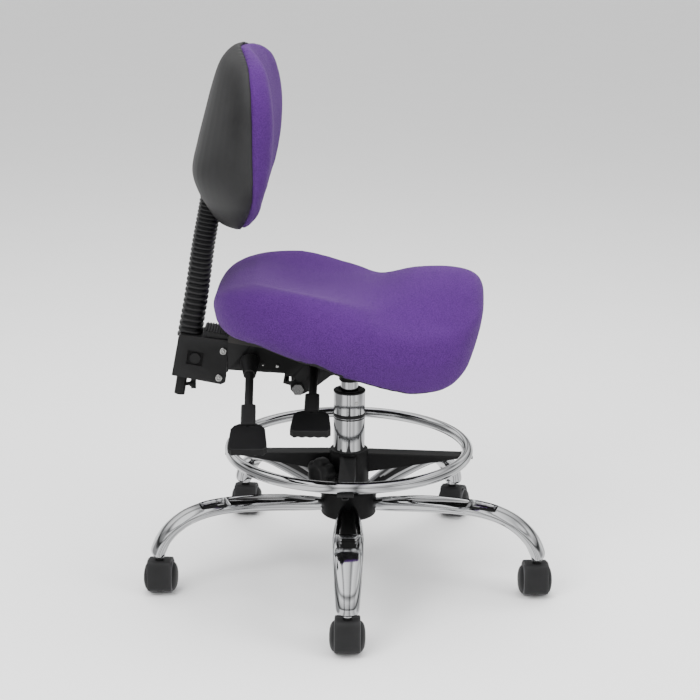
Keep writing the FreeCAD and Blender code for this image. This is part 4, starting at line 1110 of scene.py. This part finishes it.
def build_floor():
    """A pale floor and the wall behind it, in one material."""
    far = 70
    floor = mesh_object("floor", [(-far, -far, 0), (far, -far, 0), (far, far, 0),
                                  (-far, far, 0)], [(0, 1, 2, 3)])
    material, tree, shader = new_material("pale_floor", (0.95, 0.95, 0.95), 0.7)
    grain = noise(tree, object_coordinates(tree), 3, 2)
    tree.links.new(ramp(tree, grain, 0.2, 0.8, (0.94, 0.94, 0.94), (0.96, 0.96, 0.96)),
                   shader.inputs["Base Color"])
    shader.inputs["Specular IOR Level"].default_value = 0.1
    floor.data.materials.append(material)
    floor.visible_glossy = False
    build_backdrop(material)


def build_world():
    """A pale studio whose dark bands give the chrome something to mirror."""
    world = bpy.data.worlds.new("studio")
    world.use_nodes = True
    bpy.context.scene.world = world
    tree = world.node_tree
    place = tree.nodes.new("ShaderNodeTexCoord")
    split = tree.nodes.new("ShaderNodeSeparateXYZ")
    tree.links.new(place.outputs["Generated"], split.inputs["Vector"])
    sky = grey_bands(tree, split.outputs["Z"], (0.8, 1), (
        (0.04, 0.9), (0.10, 0.25), (0.20, 0.06), (0.27, 0.5), (0.45, 0.9), (0.58, 0.2),
        (0.70, 1.0)))
    sideways = tree.nodes.new("ShaderNodeMath")
    sideways.operation = "MULTIPLY_ADD"
    sideways.inputs[1].default_value = 0.5
    sideways.inputs[2].default_value = 0.5
    tree.links.new(split.outputs["X"], sideways.inputs[0])
    across = grey_bands(tree, sideways.outputs["Value"], (0.3, 0.3), (
        (0.08, 0.3), (0.16, 1.0), (0.32, 1.0), (0.38, 0.15), (0.43, 1.0), (0.50, 0.8),
        (0.555, 0.15), (0.61, 1.0), (0.78, 0.5), (0.88, 1.0)))
    background = tree.nodes["Background"]
    tree.links.new(mix(tree, "MULTIPLY", sky, across, 1.0), background.inputs["Color"])
    background.inputs["Strength"].default_value = 1.85


def build_stage():
    """Floor, studio surroundings and three soft lamps."""
    build_floor()
    build_world()
    soft_light("key", (-1.6, -2.2, 2.6), (0, 0, 0.35), (1.6, 1.6), 95)
    soft_light("fill", (2.4, -1.6, 1.7), (0, 0, 0.4), (1.4, 1.8), 55)
    soft_light("top", (0.1, 0.3, 3.0), (0, 0, 0.3), (2.2, 2.2), 95)


CAMERA_PLACE = (0.00026, -2.5162, 1.0722)
CAMERA_PITCH, CAMERA_ROLL = 15.384, 0.497


def build_camera():
    """Beside the stool, 2.5 m away and 1.07 m up, looking 15 degrees down."""
    pitch, roll = math.radians(CAMERA_PITCH), math.radians(CAMERA_ROLL)
    right, up = Vector((1, 0, 0)), Vector((0, math.sin(pitch), math.cos(pitch)))
    ahead = Vector((0, math.cos(pitch), -math.sin(pitch)))
    side = right * math.cos(roll) + up * math.sin(roll)
    top = up * math.cos(roll) - right * math.sin(roll)
    lens = bpy.data.cameras.new("camera")
    lens.sensor_width = 36
    lens.lens = 84.5
    lens.clip_end = 60
    camera = bpy.data.objects.new("camera", lens)
    bpy.context.scene.collection.objects.link(camera)
    turn = Matrix((side, top, -ahead)).transposed().to_4x4()
    camera.matrix_world = Matrix.Translation(CAMERA_PLACE) @ turn
    bpy.context.scene.camera = camera


build_camera()
build_stage()
build_legs()
build_casters()
build_column()
build_foot_ring()
build_bellows()
build_seat_cushion()
build_backrest()
build_mechanism()
build_knobs()

bpy.context.view_layer.update()
